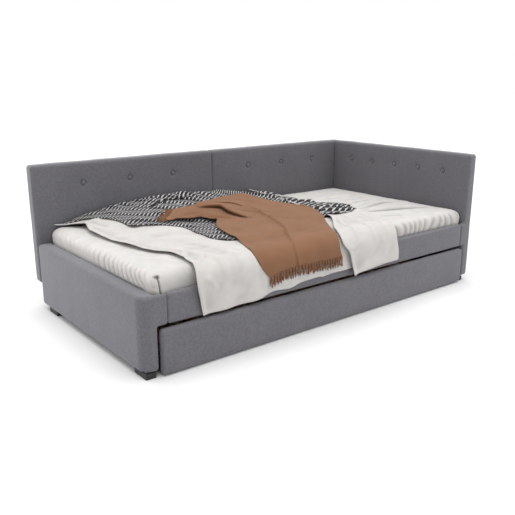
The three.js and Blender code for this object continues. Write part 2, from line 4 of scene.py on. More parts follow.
import bmesh
import bpy
import numpy as np
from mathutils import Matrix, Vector


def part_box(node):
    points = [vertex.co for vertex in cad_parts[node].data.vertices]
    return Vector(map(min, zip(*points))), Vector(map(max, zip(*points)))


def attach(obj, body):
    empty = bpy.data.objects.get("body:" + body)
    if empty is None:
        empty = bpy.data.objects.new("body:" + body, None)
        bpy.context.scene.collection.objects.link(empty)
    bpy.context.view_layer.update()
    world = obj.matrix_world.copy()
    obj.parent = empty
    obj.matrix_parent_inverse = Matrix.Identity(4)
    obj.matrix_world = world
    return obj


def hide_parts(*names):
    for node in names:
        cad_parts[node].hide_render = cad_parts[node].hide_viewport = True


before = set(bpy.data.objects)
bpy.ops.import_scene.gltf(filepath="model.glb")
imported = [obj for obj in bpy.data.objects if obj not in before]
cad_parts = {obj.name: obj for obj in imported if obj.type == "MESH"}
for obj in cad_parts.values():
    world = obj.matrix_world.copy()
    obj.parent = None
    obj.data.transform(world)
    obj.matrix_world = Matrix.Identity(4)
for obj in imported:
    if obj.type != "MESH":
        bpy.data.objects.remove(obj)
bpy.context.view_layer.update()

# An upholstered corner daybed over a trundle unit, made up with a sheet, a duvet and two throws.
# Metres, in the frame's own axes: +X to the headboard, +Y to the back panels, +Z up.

MM = 0.001

# ---------------------------------------------------------------- planes taken from the frame

FOOT_LOW, FOOT_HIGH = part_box("footboard_cover")
RAIL_LOW, RAIL_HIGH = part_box("front_rail_cover")
HEAD_LOW, HEAD_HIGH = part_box("headboard_cover")
MATTRESS_LOW, MATTRESS_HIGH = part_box("mattress")
SHEET_LOW, SHEET_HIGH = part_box("fitted_sheet")
CORE_LOW, CORE_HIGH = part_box("footboard_core")

RAIL_FACE = RAIL_LOW.y
RAIL_TOP = RAIL_HIGH.z
SHEET_TOP = SHEET_HIGH.z
BOARD_MARGIN = CORE_LOW.x - FOOT_LOW.x
FOOTBOARD_INNER = CORE_HIGH.x + BOARD_MARGIN
HEADBOARD_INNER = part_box("headboard_core")[0].x - BOARD_MARGIN
BACK_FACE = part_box("back_panel_left_cover")[0].y

# The rounding of the tall and thick panels, of the thinner ones, and of the footboard's outer corner.
EDGE_RADIUS = 14 * MM
THIN_EDGE_RADIUS = 11 * MM
SOFT_RADIUS = 48 * MM
# The mattress is this round from the side. In plan its corners are squarer, by this power.
MATTRESS_RADIUS = 42 * MM
MATTRESS_SQUARE = 4.5
# What a padded panel is drawn in by where it meets something, and over the trundle's front. Crowning
# its faces uses this up: the backs of the trundle's front and the front rail still stand a little
# proud of their boards.
PANEL_ROOM = 1.5 * MM
TRUNDLE_ROOM = 2.5 * MM
# The ways that the tufted faces look.
TO_FRONT = (0, -1, 0)
TO_FOOT = (-1, 0, 0)

# ---------------------------------------------------------------- small helpers


def smooth(share):
    """0 to 1 with soft ends, for a share that may run outside that range."""
    share = np.clip(share, 0, 1)
    return share * share * (3 - 2 * share)


def clouds(x, y, size, seed, waves=14):
    """A smooth random field of about -1 to 1, whose lumps are about size across."""
    draw = np.random.default_rng(seed)
    total = np.zeros(np.broadcast(x, y).shape)
    for _ in range(waves):
        angle = draw.uniform(0, 2 * math.pi)
        pace = 2 * math.pi / (size * draw.uniform(1.2, 3.0))
        shift = draw.uniform(0, 2 * math.pi)
        total = total + np.sin(pace * (x * math.cos(angle) + y * math.sin(angle)) + shift)
    return total / math.sqrt(waves)


def make_mesh(name, points, faces, material, uvs=None):
    mesh = bpy.data.meshes.new(name)
    mesh.from_pydata([tuple(p) for p in points], [], faces)
    mesh.materials.append(material)
    mesh.shade_smooth()
    if uvs is not None:
        layer = mesh.uv_layers.new(name="cloth")
        corners = np.empty(len(mesh.loops), np.int32)
        mesh.loops.foreach_get("vertex_index", corners)
        layer.data.foreach_set("uv", np.asarray(uvs, np.float32)[corners].ravel())
    mesh.update()
    piece = bpy.data.objects.new(name, mesh)
    bpy.context.scene.collection.objects.link(piece)
    return piece


def read_vectors(items, name):
    """One vector of each of a mesh's items, as rows of an array."""
    values = np.empty(len(items) * 3)
    items.foreach_get(name, values)
    return values.reshape(-1, 3)


@contextmanager
def edited(piece):
    """A piece's mesh, open for editing as a bmesh and written back at the end."""
    shape = bmesh.new()
    shape.from_mesh(piece.data)
    yield shape
    shape.to_mesh(piece.data)
    shape.free()


def weld(piece):
    """Merges points that lie together, and turns every face outwards."""
    with edited(piece) as shape:
        bmesh.ops.remove_doubles(shape, verts=shape.verts, dist=0.01 * MM)
        bmesh.ops.dissolve_degenerate(shape, edges=shape.edges, dist=0.001 * MM)
        bmesh.ops.recalc_face_normals(shape, faces=shape.faces)
    piece.data.shade_smooth()


def paint_crease_shade(piece, depth, passes, least_shade=0):
    """Stores, as the share of painted shade in the cloth's colour, how deep each vertex lies below the
    cloth round it: 1 is a valley of this depth.

    The last argument is a share of painted shade that the result is never below.
    """
    mesh = piece.data
    count = len(mesh.vertices)
    points = read_vectors(mesh.vertices, "co")
    facing = read_vectors(mesh.vertex_normals, "vector")
    pairs = np.empty(len(mesh.edges) * 2, int)
    mesh.edges.foreach_get("vertices", pairs)
    first, second = pairs.reshape(-1, 2).T
    near = np.maximum(np.bincount(pairs, minlength=count), 1)

    def spread(values):
        """The mean of each vertex's neighbours."""
        total = np.bincount(first, values[second], count) + np.bincount(second, values[first], count)
        return total / near

    mean = points.copy()
    for _ in range(passes):
        mean = np.stack([spread(mean[:, i]) for i in range(3)], axis=1)
    share = np.clip(((mean - points) * facing).sum(axis=1) / depth, 0, 1)
    share = np.maximum(share, least_shade)
    # The stored share darkens the colour towards a painted shade colour in the cloth's valleys.
    mesh.attributes.new("crease", "FLOAT", "POINT").data.foreach_set("value", share)


def settle(piece, body, node=None):
    """Rides a finished piece on its body, and in place of a CAD node if one is named."""
    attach(piece, body)
    if node:
        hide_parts(node)


def bake_modifiers(piece):
    """Applies a piece's modifiers to its mesh."""
    graph = bpy.context.evaluated_depsgraph_get()
    mesh = bpy.data.meshes.new_from_object(piece.evaluated_get(graph))
    piece.modifiers.clear()
    piece.data = mesh
    mesh.shade_smooth()


# ---------------------------------------------------------------- materials


class Finish:
    """A material and its nodes. Lengths in node settings are in metres of the object's own space."""

    def __init__(self, name, color, roughness, **sockets):
        self.material = bpy.data.materials.new(name)
        self.material.use_nodes = True
        self.nodes = self.material.node_tree.nodes
        self.links = self.material.node_tree.links
        self.shader = self.nodes["Principled BSDF"]
        self.set(self.shader, Base_Color=color, Roughness=roughness, **sockets)

    def plug(self, target, value):
        """Links another node's output to an input, or sets the input to a number or colour."""
        if isinstance(value, bpy.types.NodeSocket):
            self.links.new(value, target)
        else:
            target.default_value = (*value, 1) if target.type == "RGBA" else value

    def set(self, node, **sockets):
        for socket, value in sockets.items():
            self.plug(node.inputs[socket.replace("_", " ")], value)

    def add(self, kind, settings=None, **sockets):
        node = self.nodes.new("ShaderNode" + kind)
        for setting, value in (settings or {}).items():
            setattr(node, setting, value)
        self.set(node, **sockets)
        return node

    def place(self, scale=(1, 1, 1), turn=(0, 0, 0), uv=False):
        """Coordinates on the piece: its own space in metres, or the cloth's own weave lines."""
        if uv:
            source = self.add("UVMap", {"uv_map": "cloth"}).outputs["UV"]
        else:
            source = self.add("TexCoord").outputs["Object"]
        return self.add("Mapping", Vector=source, Scale=scale, Rotation=turn).outputs["Vector"]

    def noise(self, scale, where, detail=4.0, distortion=0.0):
        node = self.add("TexNoise", Vector=where, Scale=scale, Detail=detail, Distortion=distortion)
        return node.outputs["Fac"]

    def waves(self, way, scale, where, **sockets):
        """Soft bands across one axis, or across the DIAGONAL."""
        node = self.add("TexWave", {"bands_direction": way}, Vector=where, Scale=scale, **sockets)
        return node.outputs["Fac"]

    def math(self, operation, *values):
        node = self.add("Math", {"operation": operation})
        for target, value in zip(node.inputs, values):
            self.plug(target, value)
        return node.outputs[0]

    def blend(self, share, first, second, mode="MIX"):
        """A colour between two colours, by a share that may be a socket."""
        node = self.add("Mix", {"data_type": "RGBA", "blend_type": mode})
        for index, value in ((0, share), (6, first), (7, second)):
            self.plug(node.inputs[index], value)
        return node.outputs[2]

    def tint(self, base, share, amount, color):
        """The base colour, moved this amount towards another where share is 1."""
        return self.blend(self.math("MULTIPLY", share, amount), base, color)

    def ramp(self, value, low, high):
        """A share from 0 at low to 1 at high."""
        return self.add("MapRange", Value=value, From_Min=low, From_Max=high).outputs[0]

    def bump(self, height, distance, strength=0.5, under=None):
        """Adds relief of about this many metres on top of the relief under it."""
        node = self.add("Bump", Height=height, Distance=distance, Strength=strength)
        if under is not None:
            self.set(node, Normal=under)
        self.set(self.shader, Normal=node.outputs[0])
        return node.outputs[0]

    def crease(self, base, deep):
        """The base colour darkened towards the deep colour by the share stored on each vertex: painted
        shade in the cloth's own valleys.
        """
        share = self.add("Attribute", {"attribute_name": "crease"}).outputs["Fac"]
        return self.blend(share, base, deep)

    def colour(self, socket):
        self.set(self.shader, Base_Color=socket)

    def rough(self, socket):
        self.set(self.shader, Roughness=socket)


def make_upholstery():
    """Short, dense grey pile with a faint woven ground and brushed, slightly cloudy patches."""
    f = Finish(
        "upholstery", (0.13, 0.127, 0.139), 0.92,
        Sheen_Weight=0.4, Sheen_Roughness=0.4, Sheen_Tint=(0.92, 0.92, 0.97),
        Specular_IOR_Level=0.2,
    )
    where = f.place()
    drift = f.noise(5.0, where, 5.0, 0.4)
    fleck = f.noise(110.0, where, 3.0)
    grain = f.noise(420.0, where, 2.0)
    brushed = f.noise(30.0, f.place(scale=(1, 1, 0.25)), 3.0)
    base = f.blend(f.ramp(drift, 0.3, 0.7), (0.123, 0.120, 0.1315), (0.147, 0.1435, 0.156))
    base = f.blend(f.ramp(brushed, 0.35, 0.75), base, (0.130, 0.127, 0.139))
    base = f.tint(base, f.ramp(fleck, 0.42, 0.62), 0.35, (0.165, 0.162, 0.172))
    base = f.tint(base, f.ramp(fleck, 0.55, 0.35), 0.30, (0.092, 0.090, 0.100))
    base = f.blend(f.ramp(grain, 0.3, 0.7), f.blend(0.22, base, (0.06, 0.06, 0.068)), base)
    f.colour(base)
    f.rough(f.math("MULTIPLY_ADD", grain, 0.12, 0.82))
    weave = f.waves("DIAGONAL", 190.0, where, Distortion=1.2, Detail=1.0)
    relief = f.bump(weave, 0.15 * MM)
    relief = f.bump(fleck, 0.5 * MM, under=relief)
    f.bump(grain, 0.35 * MM, 0.6, relief)
    return f.material


def make_cotton(name, color, dark, wrinkle=0.6):
    """Washed plain-weave cotton: a fine grid of threads under small soft creases, with painted shade in
    the creases' hollows and in the cloth's valleys.
    """
    f = Finish(
        name, color, 0.9,
        Sheen_Weight=0.15, Sheen_Roughness=0.5, Specular_IOR_Level=0.2,
        Subsurface_Weight=0.08, Subsurface_Scale=0.01,
    )
    where = f.place()
    creases = f.noise(16.0, where, 5.0, 0.8)
    slubs = f.noise(90.0, f.place(scale=(1, 6, 6)), 3.0)
    # Darker where the creases' relief is low: painted shade in their hollows.
    base = f.blend(f.ramp(creases, 0.35, 0.65), dark, color)
    # Darkened towards near-black by painted shade in the cloth's valleys.
    f.colour(f.crease(f.tint(base, slubs, 0.10, dark), (0.055, 0.052, 0.050)))
    relief = f.bump(creases, 3.0 * MM * wrinkle)
    threads = [f.waves(way, 320.0, where, Distortion=0.6) for way in ("X", "Y")]
    f.bump(f.math("ADD", *threads), 0.10 * MM, under=relief)
    return f.material


def make_houndstooth():
    """Wool in a broken check laid on the bias: rows of slanting light teeth on black, in the cloth's
    own map, with a dark line between the rows."""
    f = Finish("houndstooth_wool", (0.4, 0.4, 0.4), 0.95, Sheen_Weight=0.2, Specular_IOR_Level=0.15)
    flat = f.place(uv=True)
    wobble = f.noise(9.0, flat, 2.0)
    tooth = f.place(scale=(1 / 0.018, 1 / 0.037, 1), uv=True)
    split = f.add("SeparateXYZ", Vector=tooth)
    row = f.math("FRACT", f.math("MULTIPLY_ADD", wobble, 0.6, split.outputs[1]))
    slanted = f.math("MULTIPLY_ADD", row, -0.9, split.outputs[0])
    across = f.math("FRACT", f.math("MULTIPLY_ADD", wobble, 0.8, slanted))
    waist = f.math("ABSOLUTE", f.math("SUBTRACT", row, 0.55))
    dark_share = f.math("MULTIPLY_ADD", waist, 0.6, 0.60)
    light_share = f.math("GREATER_THAN", across, dark_share)
    fuzz = f.noise(420.0, flat, 3.0)
    light = f.blend(fuzz, (0.33, 0.325, 0.32), (0.52, 0.51, 0.50))
    black = f.blend(fuzz, (0.004, 0.004, 0.005), (0.020, 0.020, 0.022))
    f.colour(f.blend(light_share, black, light))
    relief = f.bump(f.waves("DIAGONAL", 90.0, flat, Distortion=0.5), 0.8 * MM, 0.6)
    f.bump(fuzz, 0.6 * MM, under=relief)
    return f.material


def make_brown_wool():
    """Camel-brown wool twill, a little hairy, its colour drifting between two browns, with painted
    shade in the cloth's valleys.
    """
    f = Finish(
        "brown_wool", (0.19, 0.095, 0.052), 0.95,
        Sheen_Weight=0.12, Sheen_Roughness=0.5, Sheen_Tint=(1.0, 0.85, 0.7),
        Specular_IOR_Level=0.12,
    )
    where = f.place()
    drift = f.noise(7.0, where, 4.0, 0.3)
    fuzz = f.noise(260.0, where, 3.0)
    twill = f.waves("DIAGONAL", 52.0, where, Distortion=1.5, Detail=2.0)
    base = f.blend(f.ramp(drift, 0.3, 0.7), (0.172, 0.083, 0.043), (0.203, 0.100, 0.054))
    base = f.tint(base, twill, 0.26, (0.090, 0.043, 0.023))
    base = f.tint(base, fuzz, 0.24, (0.29, 0.16, 0.095))
    # Near-black brown: painted shade in the throw's valleys.
    f.colour(f.crease(base, (0.014, 0.008, 0.006)))
    relief = f.bump(twill, 0.6 * MM, 0.7)
    f.bump(fuzz, 0.6 * MM, under=relief)
    return f.material


def make_wood(name, pale, dark, stretch, ring=9.0):
    """Sawn softwood or board: long grain along one axis, with darker late wood and pores."""
    f = Finish(name, pale, 0.62, Specular_IOR_Level=0.35)
    where = f.place(scale=stretch)
    drift = f.noise(2.2, where, 5.0, 0.6)
    rings = f.waves("Z", ring, where, Distortion=6.0, Detail=3.0)
    pores = f.noise(60.0, where, 3.0)
    base = f.blend(f.ramp(rings, 0.25, 0.95), pale, dark)
    base = f.tint(base, drift, 0.5, pale)
    f.colour(f.tint(base, f.ramp(pores, 0.55, 0.75), 0.3, dark))
    f.bump(f.math("ADD", rings, pores), 0.25 * MM)
    return f.material


def make_moulded(name, color, grain):
    """Moulded plastic with a fine spark-eroded grain and scuffs."""
    f = Finish(name, color, 0.5, Specular_IOR_Level=0.45)
    where = f.place()
    speck = f.noise(grain, where, 2.0)
    scuff = f.noise(12.0, where, 6.0, 1.0)
    pale = tuple(min(1.0, c * 2.2 + 0.01) for c in color)
    f.colour(f.tint(color, f.ramp(scuff, 0.5, 0.8), 0.5, pale))
    f.rough(f.ramp(scuff, -0.6, 1.6))
    f.bump(speck, 0.12 * MM)
    return f.material


def make_zinc():
    """Zinc-plated pressed steel: crystalline patches, drawn lines and a dull shine."""
    f = Finish("zinc_steel", (0.55, 0.57, 0.59), 0.35, Metallic=1.0)
    where = f.place()
    patches = f.add("TexVoronoi", Vector=where, Scale=120.0, Randomness=1.0).outputs["Color"]
    lines = f.noise(220.0, f.place(scale=(1, 0.06, 1)), 2.0)
    base = f.tint((0.50, 0.52, 0.54), lines, 0.5, (0.66, 0.67, 0.68))
    f.colour(f.blend(0.12, base, patches, "SOFT_LIGHT"))
    f.rough(f.ramp(lines, -1.2, 2.2))
    f.bump(lines, 0.04 * MM)
    return f.material


def make_ticking():
    """Mattress ticking: pale damask with quilted diamonds."""
    f = Finish("ticking", (0.80, 0.79, 0.76), 0.85, Sheen_Weight=0.2)
    where = f.place(turn=(0, 0, math.radians(45)))
    quilt = f.math("MULTIPLY", *[f.waves(way, 4.0, where) for way in ("X", "Y")])
    f.colour(f.blend(quilt, (0.70, 0.69, 0.66), (0.84, 0.83, 0.80)))
    relief = f.bump(quilt, 3.0 * MM, 0.6)
    f.bump(f.noise(500.0, where, 2.0), 0.2 * MM, under=relief)
    return f.material


UPHOLSTERY = make_upholstery()
# Each cotton's second colour is the tone of its slubs and the painted shade in its creases' hollows.
SHEET_COTTON = make_cotton("sheet_cotton", (0.52, 0.503, 0.485), (0.475, 0.459, 0.441))
DUVET_COTTON = make_cotton("duvet_cotton", (0.49, 0.473, 0.455), (0.455, 0.439, 0.421), 0.4)
HOUNDSTOOTH = make_houndstooth()
BROWN_WOOL = make_brown_wool()
TICKING = make_ticking()
GRAIN_X, GRAIN_Y = (1.0, 14.0, 14.0), (14.0, 1.0, 14.0)
PINE = make_wood("pine", (0.66, 0.46, 0.26), (0.47, 0.28, 0.13), GRAIN_X)
PINE_ACROSS = make_wood("pine_across", (0.66, 0.46, 0.26), (0.47, 0.28, 0.13), GRAIN_Y)
# Near-black pine for the trundle's side rails: painted shade for the dark gap round the trundle's
# front, through which they show.
GAP_SHADE_PINE = make_wood("pine_darkened_for_gap_shade", (0.030, 0.027, 0.025), (0.016, 0.014, 0.013), GRAIN_Y)
PLYWOOD = make_wood("plywood", (0.58, 0.39, 0.22), (0.38, 0.22, 0.11), (2.0, 2.0, 2.0), 160.0)
BLACK_PLASTIC = make_moulded("black_plastic", (0.010, 0.010, 0.011), 900.0)
WHEEL_PLASTIC = make_moulded("wheel_plastic", (0.022, 0.023, 0.025), 700.0)
ZINC = make_zinc()


# ---------------------------------------------------------------- upholstered blocks

# How far from a button's middle the finer grid lines lie, in millimetres.
BUTTON_RINGS = (0, 3, 6, 8.5, 10, 11.5, 13, 14.5, 16.5, 19, 23, 28, 34, 42)
BUTTON_REACH = 46 * MM
PANEL_STEP = 14 * MM
PANEL_CROWN = 1.2 * MM


def grid_lines(low, high, step, radius, fine_at=()):
    """Places along one axis of a block, close together round its edges and near the fine_at places."""
    bend = [radius * (1 - math.tan(math.radians(a))) for a in (45, 36, 27, 18, 9)]
    inner_low = low + radius
    inner_high = high - radius
    count = max(2, round((inner_high - inner_low) / step))
    places = [inner_low + (inner_high - inner_low) * i / count for i in range(count + 1)]
    for middle in fine_at:
        near = [middle + side * reach * MM for reach in BUTTON_RINGS for side in (-1, 1)]
        places = [p for p in places if abs(p - middle) > BUTTON_REACH] + near
    places = [low + b for b in bend] + places + [high - b for b in bend]
    kept = []
    for place in sorted(places):
        if not kept or place - kept[-1] > 0.4 * MM:
            kept.append(place)
    return np.array(kept)


def block_grid(lines):
    """The closed surface of a box, as points and quads, from its grid lines on three axes."""
    counts = [len(line) for line in lines]
    index = {}
    points = []
    faces = []

    def corner(key):
        if key not in index:
            index[key] = len(points)
            points.append([lines[axis][key[axis]] for axis in range(3)])
        return index[key]

    for axis in range(3):
        a, b = (axis + 1) % 3, (axis + 2) % 3
        for level in (0, counts[axis] - 1):
            for i in range(counts[a] - 1):
                for j in range(counts[b] - 1):
                    quad = []
                    for di, dj in ((0, 0), (1, 0), (1, 1), (0, 1)):
                        key = [0, 0, 0]
                        key[axis], key[a], key[b] = level, i + di, j + dj
                        quad.append(corner(tuple(key)))
                    faces.append(quad if level else quad[::-1])
    return np.array(points), faces


def rounded(points, low, high, radius, square=2.0):
    """Rounds a box's edges: returns the moved points and which way each one faces.

    A square above 2 keeps the corners squarer in plan than they are from the side.
    """
    low, high = np.array(low), np.array(high)
    inner = np.clip(points, low + radius, high - radius)
    out = points - inner
    plan = (np.abs(out[:, 0]) ** square + np.abs(out[:, 1]) ** square) ** (1 / square)
    size = np.maximum(np.hypot(plan, out[:, 2]), 1e-9)[:, None]
    facing = out / np.maximum(np.linalg.norm(out, axis=1, keepdims=True), 1e-9)
    return inner + out / size * radius, facing


def plump(points, facing, low, high, crown, seed):
    """Crowns each face, with the slow unevenness of foam under fabric."""
    low, high = np.array(low), np.array(high)
    share = np.clip((points - low) / (high - low), 0, 1)
    swell = 1 - np.abs(2 * share - 1) ** 9
    moved = points.copy()
    for axis in range(3):
        a, b = (axis + 1) % 3, (axis + 2) % 3
        uneven = clouds(points[:, a], points[:, b], 0.10, seed + axis)
        lift = crown * swell[:, a] * swell[:, b] * (1 + 0.35 * uneven)
        moved[:, axis] += facing[:, axis] * np.abs(facing[:, axis]) * lift
    return moved


def dimple(points, facing, centre, towards):
    """Pulls the face that looks towards in, where a button is drawn down at centre."""
    centre, towards = np.array(centre), np.array(towards, float)
    gap = points - centre
    gap = gap - np.outer(gap @ towards, towards)
    distance = np.linalg.norm(gap, axis=1)
    angle = np.arctan2(gap[:, 2], gap @ np.cross(towards, (0, 0, 1)))
    pleats = 1 + 0.10 * np.cos(6 * angle) * smooth((distance - 8 * MM) / (20 * MM))
    deep = 4.2 * MM * np.exp(-((distance / (15 * MM)) ** 2))
    wide = 2.6 * MM * np.exp(-((distance / (44 * MM)) ** 2)) * pleats
    groove = 4.0 * MM * np.exp(-(((distance - 11.5 * MM) / (3.2 * MM)) ** 2))
    faces_it = smooth((facing @ towards - 0.7) / 0.25)
    return points - np.outer((deep + wide + groove) * faces_it, towards)


def upholstered(name, low, high, seed, body="bed", radius=EDGE_RADIUS, buttons=()):
    """A padded block in place of its cover node. buttons are where its front face is pulled in."""
    fine = [sorted({place[axis] for place in buttons}) for axis in range(3)]
    fine[1] = []
    lines = [grid_lines(low[i], high[i], PANEL_STEP, radius, fine[i]) for i in range(3)]
    points, faces = block_grid(lines)
    points, facing = rounded(points, low, high, radius)
    points = plump(points, facing, low, high, PANEL_CROWN, seed)
    for place in buttons:
        points = dimple(points, facing, place, TO_FRONT)
    piece = make_mesh(name, points, faces, UPHOLSTERY)
    settle(piece, body, f"{name}_cover")


def rounded_corner(first, second, radius):
    """The distance outside two planes whose meeting edge is rounded."""
    first, second = first + radius, second + radius
    outside = np.hypot(np.maximum(first, 0), np.maximum(second, 0))
    return outside + np.minimum(np.maximum(first, second), 0) - radius


def box_distance(points, low, high, radius, outer_radius):
    """How far each point is outside a rounded box whose low front upright edge has outer_radius."""
    middle = (np.array(low) + np.array(high)) / 2
    half = (np.array(high) - np.array(low)) / 2
    gap = np.abs(points - middle) - half
    outer = (points[:, :2] < middle[:2]).all(axis=1)
    plan = rounded_corner(gap[:, 0], gap[:, 1], np.where(outer, outer_radius, radius))
    return rounded_corner(plan, gap[:, 2], radius)


def voxel_union(name, boxes):
    """The joined surface of several boxes, as even quads."""
    points = []
    faces = []
    for low, high, *_ in boxes:
        block, quads = block_grid([np.array([low[i], high[i]]) for i in range(3)])
        faces += [[v + len(points) for v in quad] for quad in quads]
        points += block.tolist()
    piece = make_mesh(name, points, faces, UPHOLSTERY)
    remesh = piece.modifiers.new("fine", "REMESH")
    remesh.mode = "VOXEL"
    remesh.voxel_size = 6 * MM
    bake_modifiers(piece)
    piece.data.materials.clear()
    piece.data.materials.append(UPHOLSTERY)
    return piece


def refine(piece, places, reach):
    """Splits the faces near some places into smaller ones."""
    with edited(piece) as shape:
        near = [
            edge for edge in shape.edges
            if any(all((v.co - Vector(place)).length < reach for v in edge.verts) for place in places)
        ]
        bmesh.ops.subdivide_edges(shape, edges=near, cuts=2, use_grid_fill=True)


def drawn_onto(distance, points):
    """Moves points onto the surface where a distance is 0: returns them and which way they face."""
    step = 0.5 * MM
    for _ in range(4):
        slope = np.stack([
            distance(points + step * axis) - distance(points - step * axis) for axis in np.eye(3)
        ], axis=1) / (2 * step)
        slope /= np.maximum(np.linalg.norm(slope, axis=1, keepdims=True), 1e-6)
        points = points - slope * distance(points)[:, None]
    return points, slope


def end_panel(name, panel, corner, outer_radius, seed, buttons=()):
    """An end panel and the short return at its front corner, under one cover."""
    boxes = [(*panel, EDGE_RADIUS, outer_radius), (*corner, THIN_EDGE_RADIUS, THIN_EDGE_RADIUS)]
    blend_radius = 8 * MM

    def distance(points):
        near = [box_distance(points, *box) for box in boxes]
        mix = np.clip(0.5 + 0.5 * (near[1] - near[0]) / blend_radius, 0, 1)
        union = near[1] * (1 - mix) + near[0] * mix - blend_radius * mix * (1 - mix)
        return np.maximum(union, RAIL_FACE - points[:, 1])

    piece = voxel_union(name, boxes)
    if buttons:
        refine(piece, buttons, 30 * MM)
    points, facing = drawn_onto(distance, read_vectors(piece.data.vertices, "co"))
    points = plump(points, facing, *panel, PANEL_CROWN, seed)
    for place in buttons:
        points = dimple(points, facing, place, TO_FOOT)
    piece.data.vertices.foreach_set("co", points.ravel())
    piece.data.shade_smooth()
    piece.data.update()
    settle(piece, "bed", f"{name}_cover")


def make_end_panels():
    base = FOOT_LOW.z + PANEL_ROOM
    back = RAIL_HIGH.y - PANEL_ROOM
    end_panel(
        "footboard",
        ((FOOT_LOW.x, FOOT_LOW.y, base), (FOOTBOARD_INNER, FOOT_HIGH.y, FOOT_HIGH.z)),
        ((FOOT_LOW.x + SOFT_RADIUS, RAIL_FACE, RAIL_LOW.z), (FOOT_HIGH.x, back, RAIL_TOP)),
        SOFT_RADIUS, seed=11,
    )
    places = button_places("head", 5, TO_FOOT)
    end_panel(
        "headboard",
        ((HEADBOARD_INNER, HEAD_LOW.y, base), tuple(HEAD_HIGH)),
        ((HEAD_LOW.x, RAIL_FACE, RAIL_LOW.z), (HEAD_HIGH.x - EDGE_RADIUS, back, RAIL_TOP)),
        EDGE_RADIUS, seed=41, buttons=places.values(),
    )
    make_buttons(places, TO_FOOT)


# A tuft button's outline from its middle to its underside: radius and height in millimetres.
BUTTON_PROFILE = [(0.0, 5.2), (3.0, 5.0), (6.0, 4.3), (8.6, 3.2), (10.2, 1.8), (10.8, 0.4),
                  (10.4, -1.2), (8.8, -2.2), (4.0, -2.6), (0.0, -2.6)]
BUTTON_SINK = 4.6 * MM
BUTTON_SIDES = 28


def tube_faces(first, rings, sides):
    """The faces between rings of points, where the first ring starts at point number first."""
    faces = []
    for ring in range(rings - 1):
        a, b = first + ring * sides, first + (ring + 1) * sides
        faces += [[a + i, a + (i + 1) % sides, b + (i + 1) % sides, b + i] for i in range(sides)]
    return faces


def button_mesh(node, centre, towards):
    """A fabric-covered button: a low dome with a rolled rim, sunk in its dimple."""
    towards, up = Vector(towards), Vector((0, 0, 1))
    aside = towards.cross(up)
    points = []
    for radius, height in BUTTON_PROFILE:
        for i in range(BUTTON_SIDES):
            angle = 2 * math.pi * i / BUTTON_SIDES
            spoke = aside * math.cos(angle) + up * math.sin(angle)
            points.append(Vector(centre) + spoke * radius * MM + towards * (height * MM - BUTTON_SINK))
    faces = tube_faces(0, len(BUTTON_PROFILE), BUTTON_SIDES)
    piece = make_mesh(f"{node}_covered", points, faces, UPHOLSTERY)
    weld(piece)
    settle(piece, "bed", node)


def button_places(stem, count, towards):
    """Where the middle of each of a panel's buttons meets the panel's face, by the button's node."""
    places = {}
    for number in range(1, count + 1):
        node = f"tuft_button_{stem}_{number}"
        low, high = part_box(node)
        middle = (low + high) / 2
        if towards == TO_FOOT:
            middle.x = HEADBOARD_INNER
        else:
            middle.y = BACK_FACE
        places[node] = tuple(middle)
    return places


def make_buttons(places, towards):
    for node, place in places.items():
        button_mesh(node, place, towards)


def make_panels():
    for side, seed in (("left", 21), ("right", 31)):
        low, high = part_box(f"back_panel_{side}_cover")
        low.z += PANEL_ROOM
        places = button_places(f"back_{side}", 3, TO_FRONT)
        upholstered(f"back_panel_{side}", low, high, seed, buttons=places.values())
        make_buttons(places, TO_FRONT)

    low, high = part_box("front_rail_cover")
    high.y -= PANEL_ROOM
    upholstered("front_rail", low, high, 61, radius=THIN_EDGE_RADIUS)
    low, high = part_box("trundle_front_cover")
    high.y -= PANEL_ROOM
    high.z -= TRUNDLE_ROOM
    upholstered("trundle_front", low, high, 71, "trundle", THIN_EDGE_RADIUS)


# ---------------------------------------------------------------- curves, folds and closed cloths


def reach_along(line):
    """How far along a line of points each one is."""
    return np.concatenate([[0], np.cumsum(np.linalg.norm(np.diff(line, axis=0), axis=1))])


def curve(places, count):
    """A smooth line through places, as count points evenly spaced along it."""
    p = np.array(places, float)
    p = np.concatenate([[2 * p[0] - p[1]], p, [2 * p[-1] - p[-2]]])
    fine = []
    for i in range(1, len(p) - 2):
        t = np.linspace(0, 1, 24, endpoint=False)[:, None]
        a, b, c, d = p[i - 1], p[i], p[i + 1], p[i + 2]
        fine.append(0.5 * (2 * b + (c - a) * t + (2 * a - 5 * b + 4 * c - d) * t ** 2
                           + (3 * b - a - 3 * c + d) * t ** 3))
    fine = np.concatenate([*fine, p[-2:-1]])
    reach = reach_along(fine)
    even = np.linspace(0, reach[-1], count)
    return np.stack([np.interp(even, reach, fine[:, i]) for i in range(2)], axis=1)


def patch(back, hem, left, right, rows, columns):
    """A grid of places (rows down, columns across) that fills the space between four edges."""
    u = np.linspace(0, 1, columns)[None, :, None]
    v = np.linspace(0, 1, rows)[:, None, None]
    top, bottom = curve(back, columns)[None], curve(hem, columns)[None]
    west, east = curve(left, rows)[:, None], curve(right, rows)[:, None]
    corners = ((1 - u) * (1 - v) * top[:, :1] + u * (1 - v) * top[:, -1:]
               + (1 - u) * v * bottom[:, :1] + u * v * bottom[:, -1:])
    return (1 - v) * top + v * bottom + (1 - u) * west + u * east - corners


